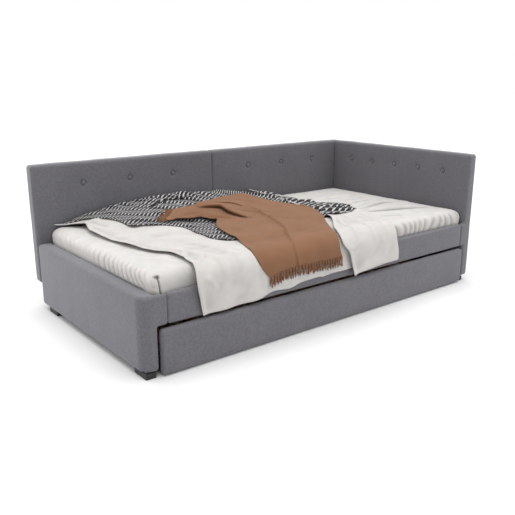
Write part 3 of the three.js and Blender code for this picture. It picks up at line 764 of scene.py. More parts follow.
def path_distance(x, y, path):
    """For each place: its distance from a path, positive on the path's left, its share along the
    path, and the path's direction there."""
    path = np.array(path, float)
    lengths = np.linalg.norm(np.diff(path, axis=0), axis=1)
    starts = np.concatenate([[0], np.cumsum(lengths)])
    best = np.full(np.shape(x), np.inf)
    signed = np.zeros(np.shape(x))
    share = np.zeros(np.shape(x))
    ways = np.zeros((*np.shape(x), 2))
    for i, length in enumerate(lengths):
        a, b = path[i], path[i + 1]
        way = (b - a) / length
        along = np.clip((x - a[0]) * way[0] + (y - a[1]) * way[1], 0, length)
        dx, dy = x - a[0] - along * way[0], y - a[1] - along * way[1]
        distance = np.hypot(dx, dy)
        nearer = distance < best
        best = np.where(nearer, distance, best)
        side = np.where(way[0] * dy - way[1] * dx >= 0, 1, -1)
        signed = np.where(nearer, side * distance, signed)
        share = np.where(nearer, (starts[i] + along) / starts[-1], share)
        ways = np.where(nearer[..., None], way, ways)
    return signed, share, ways


def ridge(x, y, path, width, height, steep=1.0):
    """A soft fold along a path, fading at both ends. steep above 1 narrows its left side."""
    signed, share, _ = path_distance(x, y, curve(path, 24))
    reach = np.where(signed > 0, width / steep, width)
    fade = np.sin(np.pi * np.clip(share, 0, 1)) ** 0.8
    return height * fade * np.exp(-((signed / reach) ** 2))


def ridges(x, y, folds):
    """Folds added up. Each has its path, its width and height in millimetres, and its steepness."""
    return sum(
        ridge(x, y, path, width * MM, height * MM, steep) for path, width, height, steep in folds
    )


def edge_lift(x, s, edge, rise, reach):
    """How far a cloth stands up along its edge, dying away inwards."""
    signed, _, _ = path_distance(x, s, curve(edge, 40))
    return rise * np.exp(-((signed / reach) ** 2))


def inside(x, y, outline, softness, grow=0.0):
    """1 well inside a closed outline and 0 outside it, changing over softness each way.

    grow moves the outline outwards.
    """
    outline = np.array(outline, float)
    closed = np.concatenate([outline, outline[:1]])
    signed, _, _ = path_distance(x, y, closed)
    crossings = np.zeros(np.shape(x), int)
    for a, b in zip(closed[:-1], closed[1:]):
        spans = (a[1] > y) != (b[1] > y)
        run = (b[0] - a[0]) * (y - a[1]) / np.where(b[1] == a[1], 1e-9, b[1] - a[1]) + a[0]
        crossings += spans & (x < run)
    distance = np.abs(signed) * np.where(crossings % 2 == 1, 1, -1) + grow
    return smooth(0.5 + distance / (2 * softness))


def rim_edges(faces):
    """The edges that only one face uses, each in that face's own direction."""
    seen = {}
    for quad in faces:
        for a, b in zip(quad, quad[1:] + quad[:1]):
            if (b, a) in seen:
                seen.pop((b, a))
            else:
                seen[(a, b)] = True
    return list(seen)


def shell_faces(faces, count):
    """The faces of a closed cloth: an upper layer, a lower layer and the rim between them.

    The lower layer's points follow the upper layer's, count points later, in the same order.
    """
    lower = [[v + count for v in quad[::-1]] for quad in faces]
    return faces + lower + [[b, a, a + count, b + count] for a, b in rim_edges(faces)]


def slab(grid, thick):
    """A closed cloth of a given thickness round a grid of points, its edges thinned like a hem."""
    rows, columns, _ = grid.shape
    across = np.gradient(grid, axis=1)
    down = np.gradient(grid, axis=0)
    facing = np.cross(down, across)
    facing /= np.maximum(np.linalg.norm(facing, axis=2, keepdims=True), 1e-12)
    half = np.full((rows, columns), thick / 2)
    half[[0, -1], :] *= 0.45
    half[:, [0, -1]] *= 0.45
    upper = (grid + facing * half[..., None]).reshape(-1, 3)
    lower = (grid - facing * half[..., None]).reshape(-1, 3)
    faces = []
    for r in range(rows - 1):
        for c in range(columns - 1):
            a = r * columns + c
            faces.append([a, a + columns, a + columns + 1, a + 1])
    return np.concatenate([upper, lower]), shell_faces(faces, rows * columns)


def weave_lines(grid):
    """Each point's place in the flat cloth, in metres, from the mean lengths along rows and columns."""
    across = np.linalg.norm(np.diff(grid, axis=1), axis=2)
    down = np.linalg.norm(np.diff(grid, axis=0), axis=2)
    u = np.concatenate([np.zeros((len(grid), 1)), np.cumsum(across, axis=1)], axis=1)
    v = np.concatenate([np.zeros((1, grid.shape[1])), np.cumsum(down, axis=0)], axis=0)
    flat = np.stack([u, v], axis=-1).reshape(-1, 2)
    return np.concatenate([flat, flat])


# ---------------------------------------------------------------- mattress and fitted sheet

SHEET_STEPS = (6 * MM, 4.5 * MM, 6 * MM)
# How far the sheet's outer face stands off the mattress, where it lies flat and at the very least,
# and how far its inner face does.
SHEET_REST = 1.5 * MM
SHEET_LEAST = 1.2 * MM
SHEET_LINING = 0.4 * MM
# The slit where the sheet is tucked at the front foot corner.
SLIT_X = MATTRESS_LOW.x + 22 * MM
# Long pulls in the sheet's top beside the duvet: each has its path in (x, y), then its width and
# height in millimetres and how much steeper its left side is.
SHEET_PULLS = [
    ([(0.94, -0.17), (0.77, -0.10), (0.60, -0.125), (0.50, -0.13)], 17, 13, 3.0),
    ([(0.926, -0.34), (0.72, -0.27), (0.56, -0.22), (0.46, -0.18)], 20, 16, 3.0),
    ([(0.90, 0.04), (0.68, 0.03), (0.50, -0.02)], 30, 7, 2.0),
    ([(0.66, -0.40), (0.54, -0.345), (0.42, -0.28)], 16, 7, 2.4),
    ([(0.92, -0.245), (0.80, -0.20), (0.66, -0.19)], 12, 6, 2.4),
    ([(0.84, 0.20), (0.60, 0.22), (0.40, 0.16)], 34, 5, 1.0),
]


def make_mattress():
    low, high = MATTRESS_LOW, MATTRESS_HIGH
    lines = [grid_lines(low[i], high[i], 30 * MM, MATTRESS_RADIUS) for i in range(3)]
    points, faces = block_grid(lines)
    points, _ = rounded(points, low, high, MATTRESS_RADIUS, MATTRESS_SQUARE)
    piece = make_mesh("mattress_core", points, faces, TICKING)
    settle(piece, "bed", "mattress")


def gathers(place, down, pitch, seed):
    """Cloth drawn into narrow gathers: rounded ridges of about 0 to 1 with sharp valleys between."""
    phase = place / pitch + 0.55 * clouds(place, down, 0.16, seed)
    fine = phase * 1.9 + 0.4 * clouds(place, down, 0.09, seed + 1)
    return 0.78 * np.abs(np.sin(math.pi * phase)) ** 0.7 + 0.22 * np.abs(np.sin(math.pi * fine))


def sheet_relief(points, facing):
    """How far the sheet stands off the mattress, and the share of painted shade in its colour.

    It has gathers on its sides and slow creases on its top.
    """
    x, y, z = points.T
    down = SHEET_TOP - z
    top = smooth((facing[:, 2] - 0.45) / 0.53)
    at_foot = smooth((-facing[:, 0] - 0.15) / 0.5)
    at_front = smooth((-facing[:, 1] - 0.15) / 0.5)
    above_rail = 0.25 + 0.75 * smooth((z - RAIL_TOP + 3 * MM) / (15 * MM))

    # The foot end's gathers die away at its front corner and towards the back panels.
    from_front = y - MATTRESS_LOW.y
    foot_share = 0.3 + 0.7 * smooth((0.62 - from_front) / 0.25) * smooth((from_front - 0.04) / 0.06)
    foot_size = 13.0 * MM * foot_share * (0.85 + 0.25 * clouds(y, z, 0.2, 7))
    foot_folds = gathers(y + 0.55 * down, z, 0.040, 6)
    foot = foot_size * foot_folds + 1.0 * MM

    # The front's gathers show beside the duvet, and are smaller at the headboard.
    front_share = smooth((x - 0.28) / 0.12) * (1 - 0.5 * smooth((x - 0.86) / 0.05)) + 0.10
    front_size = 9.0 * MM * front_share * (0.8 + 0.3 * clouds(x, z, 0.15, 9))
    front_folds = gathers(x + 0.10 * down, z, 0.052, 8)
    front = front_size * front_folds

    relief = (1 - top) * above_rail * (at_foot * foot + at_front * front)
    relief += top * (1.1 * MM * clouds(x, y, 0.16, 10) + 0.5 * MM * clouds(x, y, 0.05, 12))
    # Painted shade on the sides: in the gathers' valleys, and evenly over the front side.
    valleys = at_foot * foot_share * (1 - foot_folds) + at_front * front_share * (1 - front_folds)
    return relief + SHEET_REST, (1 - top) * (0.55 * valleys ** 1.3 + 0.10 * at_front)


def make_fitted_sheet():
    """The sheet over the mattress's top and sides, with an inner face so that it has real thickness."""
    base = SHEET_LOW.z
    low, high = MATTRESS_LOW, MATTRESS_HIGH
    lines = [grid_lines(low[i], high[i], SHEET_STEPS[i], MATTRESS_RADIUS) for i in range(3)]
    slit = np.arange(SLIT_X - 9 * MM, SLIT_X + 12 * MM, 1.5 * MM)
    lines[0] = np.unique(np.concatenate([lines[0], slit]))
    lines[2] = np.concatenate([[base], lines[2][lines[2] > base + 2 * MM]])
    points, faces = block_grid(lines)
    faces = [quad for quad in faces if points[quad, 2].max() > base + 1e-6]
    deep_low = (low.x, low.y, low.z - 2 * MATTRESS_RADIUS)
    moved, facing = rounded(points, deep_low, high, MATTRESS_RADIUS, MATTRESS_SQUARE)
    relief, valleys = sheet_relief(moved, facing)
    offset = np.maximum(relief + sheet_creases(moved, facing), SHEET_LEAST)
    outer = moved + facing * offset[:, None]
    inner = moved + facing * SHEET_LINING
    piece = make_mesh(
        "cotton_sheet", np.concatenate([outer, inner]), shell_faces(faces, len(points)), SHEET_COTTON,
    )
    # Painted shade in the tuck's slit and the sides' gathers, stored on both faces for the sheet's
    # colour.
    shade = np.maximum(slit_shade(moved, facing), valleys)
    paint_crease_shade(piece, 6 * MM, 30, np.concatenate([shade, shade]))
    with edited(piece) as shape:
        loose = [vertex for vertex in shape.verts if not vertex.link_faces]
        bmesh.ops.delete(shape, geom=loose, context="VERTS")
    settle(piece, "bed", "fitted_sheet")


def slit_gap(points):
    """How far each place is past the tuck's slit, along the bed."""
    return points[:, 0] - SLIT_X - 0.11 * (SHEET_TOP - 15 * MM - points[:, 2])


def sheet_creases(points, facing):
    """The long pulls in the sheet beside the duvet, and the full cloth at its front foot corner."""
    x, y, z = points.T
    on_top = smooth((facing[:, 2] - 0.5) / 0.4)
    down = smooth((SHEET_TOP - 8 * MM - z) / (7 * MM))
    at_front = smooth((-facing[:, 1] - 0.3) / 0.4)
    gap = slit_gap(points)
    full = smooth((np.abs(gap) - 1.5 * MM) / (6 * MM)) * np.exp(-((gap / (26 * MM)) ** 2))
    return on_top * ridges(x, y, SHEET_PULLS) + 7.0 * MM * full * at_front * down


def slit_shade(points, facing):
    """Painted shade for the tuck's slit: 1 inside the slit and its small mouth at the top, 0 elsewhere.
    """
    gap = slit_gap(points)
    at_front = smooth((-facing[:, 1] - 0.3) / 0.4)
    down = smooth((SHEET_TOP - 14 * MM - points[:, 2]) / (4 * MM))
    mouth = np.hypot(gap / (11 * MM), (points[:, 2] - SHEET_TOP + 17 * MM) / (5 * MM))
    return at_front * np.maximum(down * np.exp(-((gap / (2.6 * MM)) ** 2)), np.exp(-(mouth ** 4)))


# ---------------------------------------------------------------- cloth over the bed
# A place on the bedding is (x, s): s is the way down the drape, measured from the mattress's front
# shoulder. It is negative on the top of the bed and positive round the shoulder and down the rail.

SHOULDER_Y = MATTRESS_LOW.y + MATTRESS_RADIUS - 5 * MM
DROP_Y = RAIL_FACE - 1 * MM
DROP_TOP = RAIL_TOP + 12 * MM
# How far the middle of each cloth lies off what is under it, where it is flat.
DUVET_REST = 4.5 * MM
THROW_REST = 3.5 * MM


def shoulder_curve(count=160):
    """The bend over the front edge, as points in (y, z), and how far along it each one is."""
    t = np.linspace(0, 1, count)[:, None]
    start, knee, end = (SHOULDER_Y, SHEET_TOP), (DROP_Y, SHEET_TOP), (DROP_Y, DROP_TOP)
    bend = (1 - t) ** 2 * np.array(start) + 2 * t * (1 - t) * np.array(knee) + t * t * np.array(end)
    return bend, reach_along(bend)


BEND, BEND_REACH = shoulder_curve()
BEND_LENGTH = BEND_REACH[-1]


def drape(x, s, lift):
    """Where a cloth lies that is lift off the bare drape at each place (x, s)."""
    y = np.where(s < 0, SHOULDER_Y - s, np.interp(s, BEND_REACH, BEND[:, 0]))
    z = np.where(s > BEND_LENGTH, DROP_TOP - (s - BEND_LENGTH), np.interp(s, BEND_REACH, BEND[:, 1]))
    z = np.where(s < 0, SHEET_TOP, z)
    slope = np.gradient(BEND, BEND_REACH, axis=0)
    slope_y = np.interp(s, BEND_REACH, slope[:, 0], left=-1, right=0)
    slope_z = np.interp(s, BEND_REACH, slope[:, 1], left=0, right=-1)
    size = np.hypot(slope_y, slope_z)
    return np.stack([x, y + lift * slope_z / size, z - lift * slope_y / size], axis=-1)


def lap(x, s, path, width, height, back):
    """A pleat that laps over itself along a path, its mouth on the path's left side.

    Returns how far each place moves in x and s, and how far it lifts. The lift dies away this far
    back from the mouth.
    """
    signed, share, ways = path_distance(x, s, curve(path, 30))
    behind = -signed / width
    fade = np.sin(np.pi * np.clip(share, 0, 1)) ** 0.5
    shift = -3.0 * width * fade * behind * np.exp(-(behind ** 2))
    hold = np.exp(-((np.maximum(behind, 0) * width / back) ** 2))
    lift = height * fade * smooth(0.5 + 0.55 * behind) * hold
    return shift * ways[..., 1], -shift * ways[..., 0], lift


def lapped(x, s, laps):
    """The same places with every lap in them, and how far they lift."""
    moves = [lap(x, s, *one) for one in laps]
    return x + sum(m[0] for m in moves), s + sum(m[1] for m in moves), sum(m[2] for m in moves)


# ---------------------------------------------------------------- the duvet

DUVET_THICK = 6 * MM
FOLD_GAP = 12 * MM

# The duvet's edges, as places (x, s). The lower layer ends at a fold on the headboard side, and the
# turned-back layer runs from that fold to the turned edge.
DUVET_LEFT = [(-0.94, -0.94), (-0.885, -0.885), (-0.845, -0.80), (-0.862, -0.70), (-0.862, -0.59),
              (-0.845, -0.41), (-0.806, -0.24), (-0.765, -0.17), (-0.757, -0.09), (-0.776, 0.03),
              (-0.790, 0.09), (-0.776, 0.167), (-0.76, 0.238)]
DUVET_HEM = [(-0.76, 0.238), (-0.63, 0.236), (-0.50, 0.232), (-0.40, 0.216), (-0.31, 0.218),
             (-0.25, 0.208), (-0.15, 0.200), (-0.11, 0.206), (-0.04, 0.201), (0.06, 0.200),
             (0.25, 0.206), (0.385, 0.213)]
DUVET_FOLD = [(0.36, -0.93), (0.37, -0.70), (0.41, -0.42), (0.44, -0.26), (0.455, -0.17),
              (0.408, -0.048), (0.366, 0.038), (0.359, 0.085), (0.378, 0.149), (0.385, 0.213)]
DUVET_BACK = [(-0.94, -0.94), (-0.40, -0.935), (0.0, -0.93), (0.36, -0.93)]
TURNED_EDGE = [(0.24, -0.93), (0.25, -0.60), (0.235, -0.35), (0.19, -0.19), (0.042, -0.016),
               (-0.005, 0.069), (0.029, 0.111), (0.05, 0.162), (0.073, 0.234)]
TURNED_HEM = [(0.073, 0.234), (0.15, 0.226), (0.216, 0.220), (0.30, 0.217), (0.385, 0.213)]
TURNED_BACK = [(0.24, -0.93), (0.36, -0.93)]

# Soft swells and pulls in the lower layer, as paths of places (x, s).
DUVET_FOLDS = [
    ([(-0.66, -0.42), (-0.55, -0.25), (-0.50, 0.0)], 40, 7, 1.0),
    ([(-0.72, -0.20), (-0.66, -0.02), (-0.645, 0.18)], 24, 8, 1.8),
    ([(-0.60, -0.30), (-0.56, -0.06), (-0.57, 0.20)], 22, 7, 1.6),
    ([(-0.52, -0.10), (-0.50, 0.06), (-0.52, 0.20)], 18, 5, 1.6),
    ([(-0.78, -0.40), (-0.66, -0.50), (-0.50, -0.46)], 34, 5, 1.0),
    ([(-0.77, -0.03), (-0.72, -0.10), (-0.66, -0.20)], 11, 9, 2.0),
    ([(-0.79, 0.035), (-0.74, 0.03), (-0.70, -0.01), (-0.66, -0.06)], 9, 8, 2.4),
    ([(-0.78, 0.09), (-0.73, 0.10), (-0.69, 0.15)], 12, 5, 1.6),
    ([(-0.88, -0.86), (-0.84, -0.78), (-0.80, -0.62)], 16, 10, 1.6),
    ([(-0.84, -0.80), (-0.80, -0.815), (-0.75, -0.80)], 9, 10, 2.4),
    ([(-0.20, 0.06), (-0.19, 0.14), (-0.20, 0.20)], 16, 5, 1.0),
    ([(-0.36, 0.02), (-0.34, 0.12), (-0.35, 0.21)], 20, 5, 1.0),
    ([(-0.08, 0.04), (-0.07, 0.12), (-0.09, 0.20)], 14, 6, 1.6),
]
# Folds in the turned-back layer, drawn from its back corner down to its hem.
TURNED_FOLDS = [
    ([(0.30, -0.22), (0.23, -0.06), (0.21, 0.12)], 16, 8, 1.8),
    ([(0.36, -0.22), (0.32, -0.05), (0.30, 0.10)], 18, 7, 1.6),
    ([(0.24, -0.20), (0.13, -0.04), (0.09, 0.10)], 12, 8, 2.0),
    ([(0.40, -0.20), (0.37, -0.10), (0.34, 0.02)], 14, 5, 1.4),
    ([(0.02, 0.04), (0.08, 0.03), (0.15, -0.02)], 8, 6, 2.0),
    ([(0.03, 0.10), (0.08, 0.10), (0.13, 0.07)], 7, 5, 2.0),
]

# How high the bunched bedding rises at its back, along the bed.
PILE_X = (-0.95, -0.89, -0.77, -0.65, -0.50, -0.40, -0.26, -0.05, 0.13, 0.33, 0.45)
PILE_RISE = (-0.006, -0.001, 0.032, 0.050, 0.062, 0.072, 0.078, 0.066, 0.048, 0.016, 0.0)
PILE_FRONT_Y = -0.12
PILE_BACK_Y = 0.47


def pile(x, s):
    """How high the bunched bedding rises towards the back panels."""
    y = SHOULDER_Y - s
    share = (y - PILE_FRONT_Y) / (PILE_BACK_Y - PILE_FRONT_Y)
    return np.interp(x, PILE_X, PILE_RISE) * smooth(share)


def on_drop(s):
    """1 on the part that hangs down the front, 0 on top of the bed."""
    return smooth((s - 0.02) / 0.08)


def duvet_top(x, s):
    """The height of the duvet's upper side above the bare sheet."""
    outline = DUVET_LEFT + DUVET_HEM[1:] + DUVET_FOLD[::-1] + DUVET_BACK[-2:0:-1]
    turned = TURNED_EDGE + TURNED_HEM[1:] + DUVET_FOLD[::-1]
    lower = 8.5 * MM * inside(x, s, outline, 16 * MM)
    return pile(x, s) + lower + FOLD_GAP * inside(x, s, turned, 14 * MM)


def duvet_relief(x, s):
    """How the lower layer's height varies over what is under it."""
    swell = 2.2 * MM * clouds(x, s, 0.12, 101) + 0.8 * MM * clouds(x, s, 0.05, 102)
    flare = 4.0 * MM * np.sin(2 * math.pi * x / 0.17 + 0.8) * smooth((s - 0.12) / 0.10)
    edge = edge_lift(x, s, DUVET_LEFT, 9 * MM, 24 * MM)
    return swell + ridges(x, s, DUVET_FOLDS) + flare + 3.0 * MM + edge


def turned_relief(x, s):
    """How the turned-back layer's height varies over what is under it."""
    swell = 1.8 * MM * clouds(x, s, 0.10, 111) + 0.6 * MM * clouds(x, s, 0.04, 112)
    edge = edge_lift(x, s, TURNED_EDGE, 8 * MM, 22 * MM)
    return swell + ridges(x, s, TURNED_FOLDS) + 2.0 * MM + edge


def fold_over(lower, lower_lift, upper, upper_lift):
    """Joins the last column of the lower layer to the first of the upper one by a round bend."""
    middle = (lower_lift[:, -1] + upper_lift[:, 0]) / 2
    radius = (upper_lift[:, 0] - lower_lift[:, -1]) / 2
    bend = []
    lifts = []
    for share in (0.2, 0.4, 0.6, 0.8):
        angle = math.pi * share
        places = lower[:, -1].copy()
        places[:, 0] += radius * math.sin(angle)
        bend.append(places)
        lifts.append(middle - radius * math.cos(angle))
    places = np.concatenate([lower, np.stack(bend, axis=1), upper], axis=1)
    return places, np.concatenate([lower_lift, np.stack(lifts, axis=1), upper_lift], axis=1)


def make_duvet():
    """One cloth: a lower layer, a fold on the headboard side, and the layer turned back over it."""
    rows, columns, turned_columns = 170, 170, 56
    lower = patch(DUVET_BACK, DUVET_HEM, DUVET_LEFT, DUVET_FOLD, rows, columns)
    upper = patch(TURNED_BACK, TURNED_HEM, TURNED_EDGE, DUVET_FOLD, rows, turned_columns)[:, ::-1]
    x, s = lower[..., 0], lower[..., 1]
    lower_lift = DUVET_REST + pile(x, s) + duvet_relief(x, s)
    x, s = upper[..., 0], upper[..., 1]
    upper_lift = DUVET_REST + FOLD_GAP + pile(x, s) + 0.5 * duvet_relief(x, s) + turned_relief(x, s)
    places, lift = fold_over(lower, lower_lift, upper, upper_lift)
    grid = drape(places[..., 0], places[..., 1], lift)
    points, faces = slab(grid, DUVET_THICK)
    piece = make_mesh("duvet_cover", points, faces, DUVET_COTTON, weave_lines(grid))
    # Painted shade for the duvet's valleys, stored for its colour.
    paint_crease_shade(piece, 14 * MM, 20)
    settle(piece, "bed", "duvet")


# ---------------------------------------------------------------- the houndstooth throw

HOUND_THICK = 5 * MM
# The throw's edges, the rolls in it and its one lapped pleat, as places (x, s).
HOUND_BACK = [(-0.89, -0.942), (-0.75, -0.952), (-0.50, -0.952), (-0.26, -0.945), (0.0, -0.945),
              (0.14, -0.945), (0.28, -0.87)]
HOUND_LEFT = [(-0.89, -0.942), (-0.905, -0.925), (-0.90, -0.906)]
HOUND_FRONT = [(-0.90, -0.906), (-0.81, -0.863), (-0.735, -0.755), (-0.71, -0.67), (-0.70, -0.59),
               (-0.64, -0.575), (-0.55, -0.53), (-0.50, -0.46), (-0.487, -0.347), (-0.50, -0.23),
               (-0.46, -0.155), (-0.35, -0.13), (-0.10, -0.15), (0.10, -0.22), (0.217, -0.235),
               (0.275, -0.208), (0.37, -0.218)]
HOUND_RIGHT = [(0.28, -0.87), (0.325, -0.79), (0.335, -0.68), (0.42, -0.615), (0.505, -0.56),
               (0.56, -0.488), (0.54, -0.38), (0.49, -0.29), (0.37, -0.218)]
HOUND_ROLLS = [
    ([(-0.62, -0.80), (-0.40, -0.86), (-0.18, -0.84), (0.02, -0.86)], 26, 17, 1.3),
    ([(-0.86, -0.91), (-0.62, -0.90), (-0.44, -0.93)], 18, 9, 1.0),
    ([(0.00, -0.90), (0.18, -0.80), (0.30, -0.66)], 22, 10, 1.0),
    ([(0.16, -0.66), (0.32, -0.56), (0.48, -0.50)], 20, 9, 1.0),
    ([(0.20, -0.54), (0.34, -0.44), (0.48, -0.40)], 18, 8, 1.0),
    ([(0.22, -0.42), (0.32, -0.33), (0.44, -0.30)], 16, 7, 1.0),
]
HOUND_LAPS = [
    ([(-0.52, -0.775), (-0.40, -0.81), (-0.30, -0.80), (-0.20, -0.785)], 8 * MM, 12 * MM, 40 * MM),
]
# The ripples that run across it.
RIPPLE = 9 * MM
RIPPLE_PITCH = 82 * MM


def cloth_axes(x, s):
    """Places along and across the rows of the houndstooth's weave, which lies on the bias."""
    return 0.78 * x + 0.62 * s, 0.62 * x - 0.78 * s


def hound_base(x, s):
    """The throw's height without its ripples."""
    slack = 1.0 * MM * (1 + clouds(x, s, 0.10, 121))
    return duvet_top(x, s) + THROW_REST + slack + ridges(x, s, HOUND_ROLLS)


def hound_lift(x, s):
    """The throw's height with the ripples that run across it, each steeper on its front side."""
    _, depth = cloth_axes(x, s)
    share = (depth / RIPPLE_PITCH + 0.7 * clouds(x, s, 0.30, 122)) % 1.0
    crest = smooth(share / 0.28) * (1 - smooth((share - 0.28) / 0.72))
    size = RIPPLE * (0.65 + 0.35 * clouds(x, s, 0.16, 123))
    return hound_base(x, s) + size * crest


def make_houndstooth_throw():
    flat = patch(HOUND_BACK, HOUND_FRONT, HOUND_LEFT, HOUND_RIGHT, 160, 240)
    x, s, lift = lapped(flat[..., 0], flat[..., 1], HOUND_LAPS)
    grid = drape(x, s, hound_lift(x, s) + lift)
    points, faces = slab(grid, HOUND_THICK)
    along, depth = cloth_axes(flat[..., 0], flat[..., 1])
    # The teeth are wider at the headboard end, where the cloth is drawn out.
    wider = 1 - 0.45 * smooth((flat[..., 0] + 0.1) / 0.4)
    weave = np.stack([along * wider, depth], axis=-1).reshape(-1, 2)
    piece = make_mesh("houndstooth_blanket", points, faces, HOUNDSTOOTH, np.tile(weave, (2, 1)))
    settle(piece, "bed", "houndstooth_throw")


# ---------------------------------------------------------------- the brown throw

BROWN_THICK = 5 * MM
# The throw's edges, the crease where it is folded along its length, its folds and lapped pleats.
BROWN_END = [(-0.43, -0.665), (-0.48, -0.615), (-0.535, -0.562)]
BROWN_TOP = [(-0.43, -0.665), (-0.36, -0.668), (-0.28, -0.685), (-0.16, -0.712), (-0.03, -0.757),
             (0.085, -0.785)]
BROWN_RIGHT = [(0.085, -0.785), (0.123, -0.709), (0.141, -0.635), (0.19, -0.56), (0.24, -0.47),
               (0.235, -0.40), (0.215, -0.318), (0.155, -0.206), (0.035, -0.028), (-0.02, 0.07),
               (-0.008, 0.132)]
BROWN_LEFT = [*BROWN_END, (-0.49, -0.540), (-0.43, -0.510), (-0.38, -0.505), (-0.345, -0.455),
              (-0.325, -0.445), (-0.36, -0.40), (-0.398, -0.324), (-0.428, -0.21), (-0.445, -0.10),
              (-0.480, 0.01), (-0.490, 0.06), (-0.464, 0.105), (-0.427, 0.150)]
BROWN_HEM = [(-0.427, 0.150), (-0.35, 0.134), (-0.262, 0.126), (-0.15, 0.129), (-0.008, 0.132)]
BROWN_CREASE = [(-0.02, -0.60), (-0.05, -0.444), (-0.093, -0.289), (-0.169, -0.118), (-0.258, 0.026),
                (-0.285, 0.067), (-0.270, 0.150)]
BROWN_FOLDS = [
    ([(-0.46, -0.575), (-0.38, -0.58), (-0.30, -0.56)], 14, 7, 1.6),
    ([(-0.36, -0.53), (-0.28, -0.47), (-0.22, -0.42)], 12, 8, 1.8),
    ([(-0.44, -0.54), (-0.34, -0.53), (-0.26, -0.49)], 9, 6, 1.8),
    ([(-0.20, -0.52), (-0.10, -0.50), (0.00, -0.43)], 14, 6, 1.6),
    ([(-0.10, -0.72), (0.02, -0.66), (0.10, -0.58)], 18, 5, 1.0),
    ([(-0.17, -0.43), (-0.08, -0.36), (0.02, -0.22)], 13, 4, 1.4),
    ([(-0.34, -0.36), (-0.33, -0.24), (-0.36, -0.10)], 30, 4, 1.0),
    ([(0.10, -0.44), (0.08, -0.28), (-0.02, -0.10)], 34, 4, 1.0),
]
BROWN_LAPS = [
    ([(-0.31, -0.63), (-0.26, -0.605), (-0.21, -0.575), (-0.207, -0.50), (-0.194, -0.44),
      (-0.165, -0.395)], 12 * MM, 24 * MM, 70 * MM),
    ([(-0.25, -0.625), (-0.20, -0.63), (-0.116, -0.63), (-0.070, -0.56)], 6 * MM, 7 * MM, 40 * MM),
]


def brown_lift(x, s):
    """The throw's height: over the duvet and the other throw, folded once along its length."""
    hound = HOUND_BACK + HOUND_RIGHT[1:] + HOUND_FRONT[-2::-1] + HOUND_LEFT[-2:0:-1]
    over = inside(x, s, hound, 45 * MM, 45 * MM)
    base = duvet_top(x, s) * (1 - over) + (hound_base(x, s) + RIPPLE + 1 * MM) * over
    beside, share, _ = path_distance(x, s, curve(BROWN_CREASE, 30))
    doubled = 6 * MM * smooth(0.5 - beside / (5 * MM))
    bead = 2.5 * MM * np.exp(-((beside / (5 * MM)) ** 2))
    crease = smooth(share * 5) * (doubled + bead)
    slack = 1.0 * MM * (1 + clouds(x, s, 0.09, 131))
    waves = 2.2 * MM * (1 + np.sin(2 * math.pi * x / 0.105 + 1.0) * on_drop(s))
    edge = edge_lift(x, s, BROWN_LEFT[3:8], 8 * MM, 14 * MM)
    return base + THROW_REST + crease + slack + ridges(x, s, BROWN_FOLDS) + waves + edge


def make_brown_throw():
    flat = patch(BROWN_TOP, BROWN_HEM, BROWN_LEFT, BROWN_RIGHT, 230, 140)
    x, s, lift = lapped(flat[..., 0], flat[..., 1], BROWN_LAPS)
    grid = drape(x, s, brown_lift(x, s) + lift)
    points, faces = slab(grid, BROWN_THICK)
    piece = make_mesh("brown_blanket", points, faces, BROWN_WOOL, weave_lines(grid))
    # Painted shade for the throw's valleys, stored for its colour.
    paint_crease_shade(piece, 9 * MM, 20)
    settle(piece, "bed", "brown_throw")
    fringes = [hem_fringe(), end_fringe()]


def strand_tubes(name, lines, thick):
    """Twisted fringe strands: each line of points is made into a tapering round tube."""
    sides = 6
    points = []
    faces = []
    for line in lines:
        first = len(points)
        last = first + (len(line) - 1) * sides
        ahead = np.gradient(line, axis=0)
        across = np.cross(ahead, (0.31, 0.83, 0.47))
        across /= np.linalg.norm(across, axis=1, keepdims=True)
        up = np.cross(across, ahead)
        up /= np.linalg.norm(up, axis=1, keepdims=True)
        for i, place in enumerate(line):
            size = thick * (1 - 0.45 * i / (len(line) - 1))
            for k in range(sides):
                angle = 2 * math.pi * k / sides + 0.5 * i
                points.append(place + (across[i] * math.cos(angle) + up[i] * math.sin(angle)) * size)
        faces += tube_faces(first, len(line), sides)
        faces.append([first + k for k in range(sides)][::-1])
        faces.append([last + k for k in range(sides)])
    piece = make_mesh(name, points, faces, BROWN_WOOL)
    weld(piece)
    settle(piece, "bed")
    return piece


def strand_lines(draw, roots, ways, lengths, lift_of, stand):
    """Strands from their roots at places (x, s), each running its own way over what is under it."""
    share = np.linspace(0, 1, 7)[None, :, None]
    ways = ways / np.linalg.norm(ways, axis=1, keepdims=True)
    aside = np.stack([-ways[:, 1], ways[:, 0]], axis=1)[:, None]
    sway = draw.uniform(-1, 1, (len(roots), 1, 1))
    bend = sway * 4 * MM * share ** 2 + np.sin(5 * share + 3 * sway) * 0.8 * MM
    places = roots[:, None] + ways[:, None] * lengths[:, None, None] * share + aside * bend
    lift = lift_of(places[..., 0], places[..., 1]) + stand[:, None]
    return drape(places[..., 0], places[..., 1], lift)


def tufted(draw, edge, tufts, strands, spread):
    """Roots gathered in tufts along an edge, and how far each one leans to its tuft's side."""
    middles = curve(edge, tufts + 1)
    middles = (middles[1:] + middles[:-1]) / 2
    lean = draw.uniform(-1, 1, (tufts, strands))
    step = np.gradient(middles, axis=0)
    roots = middles[:, None] + step[:, None] * lean[..., None] * spread
    return roots.reshape(-1, 2), lean.ravel()


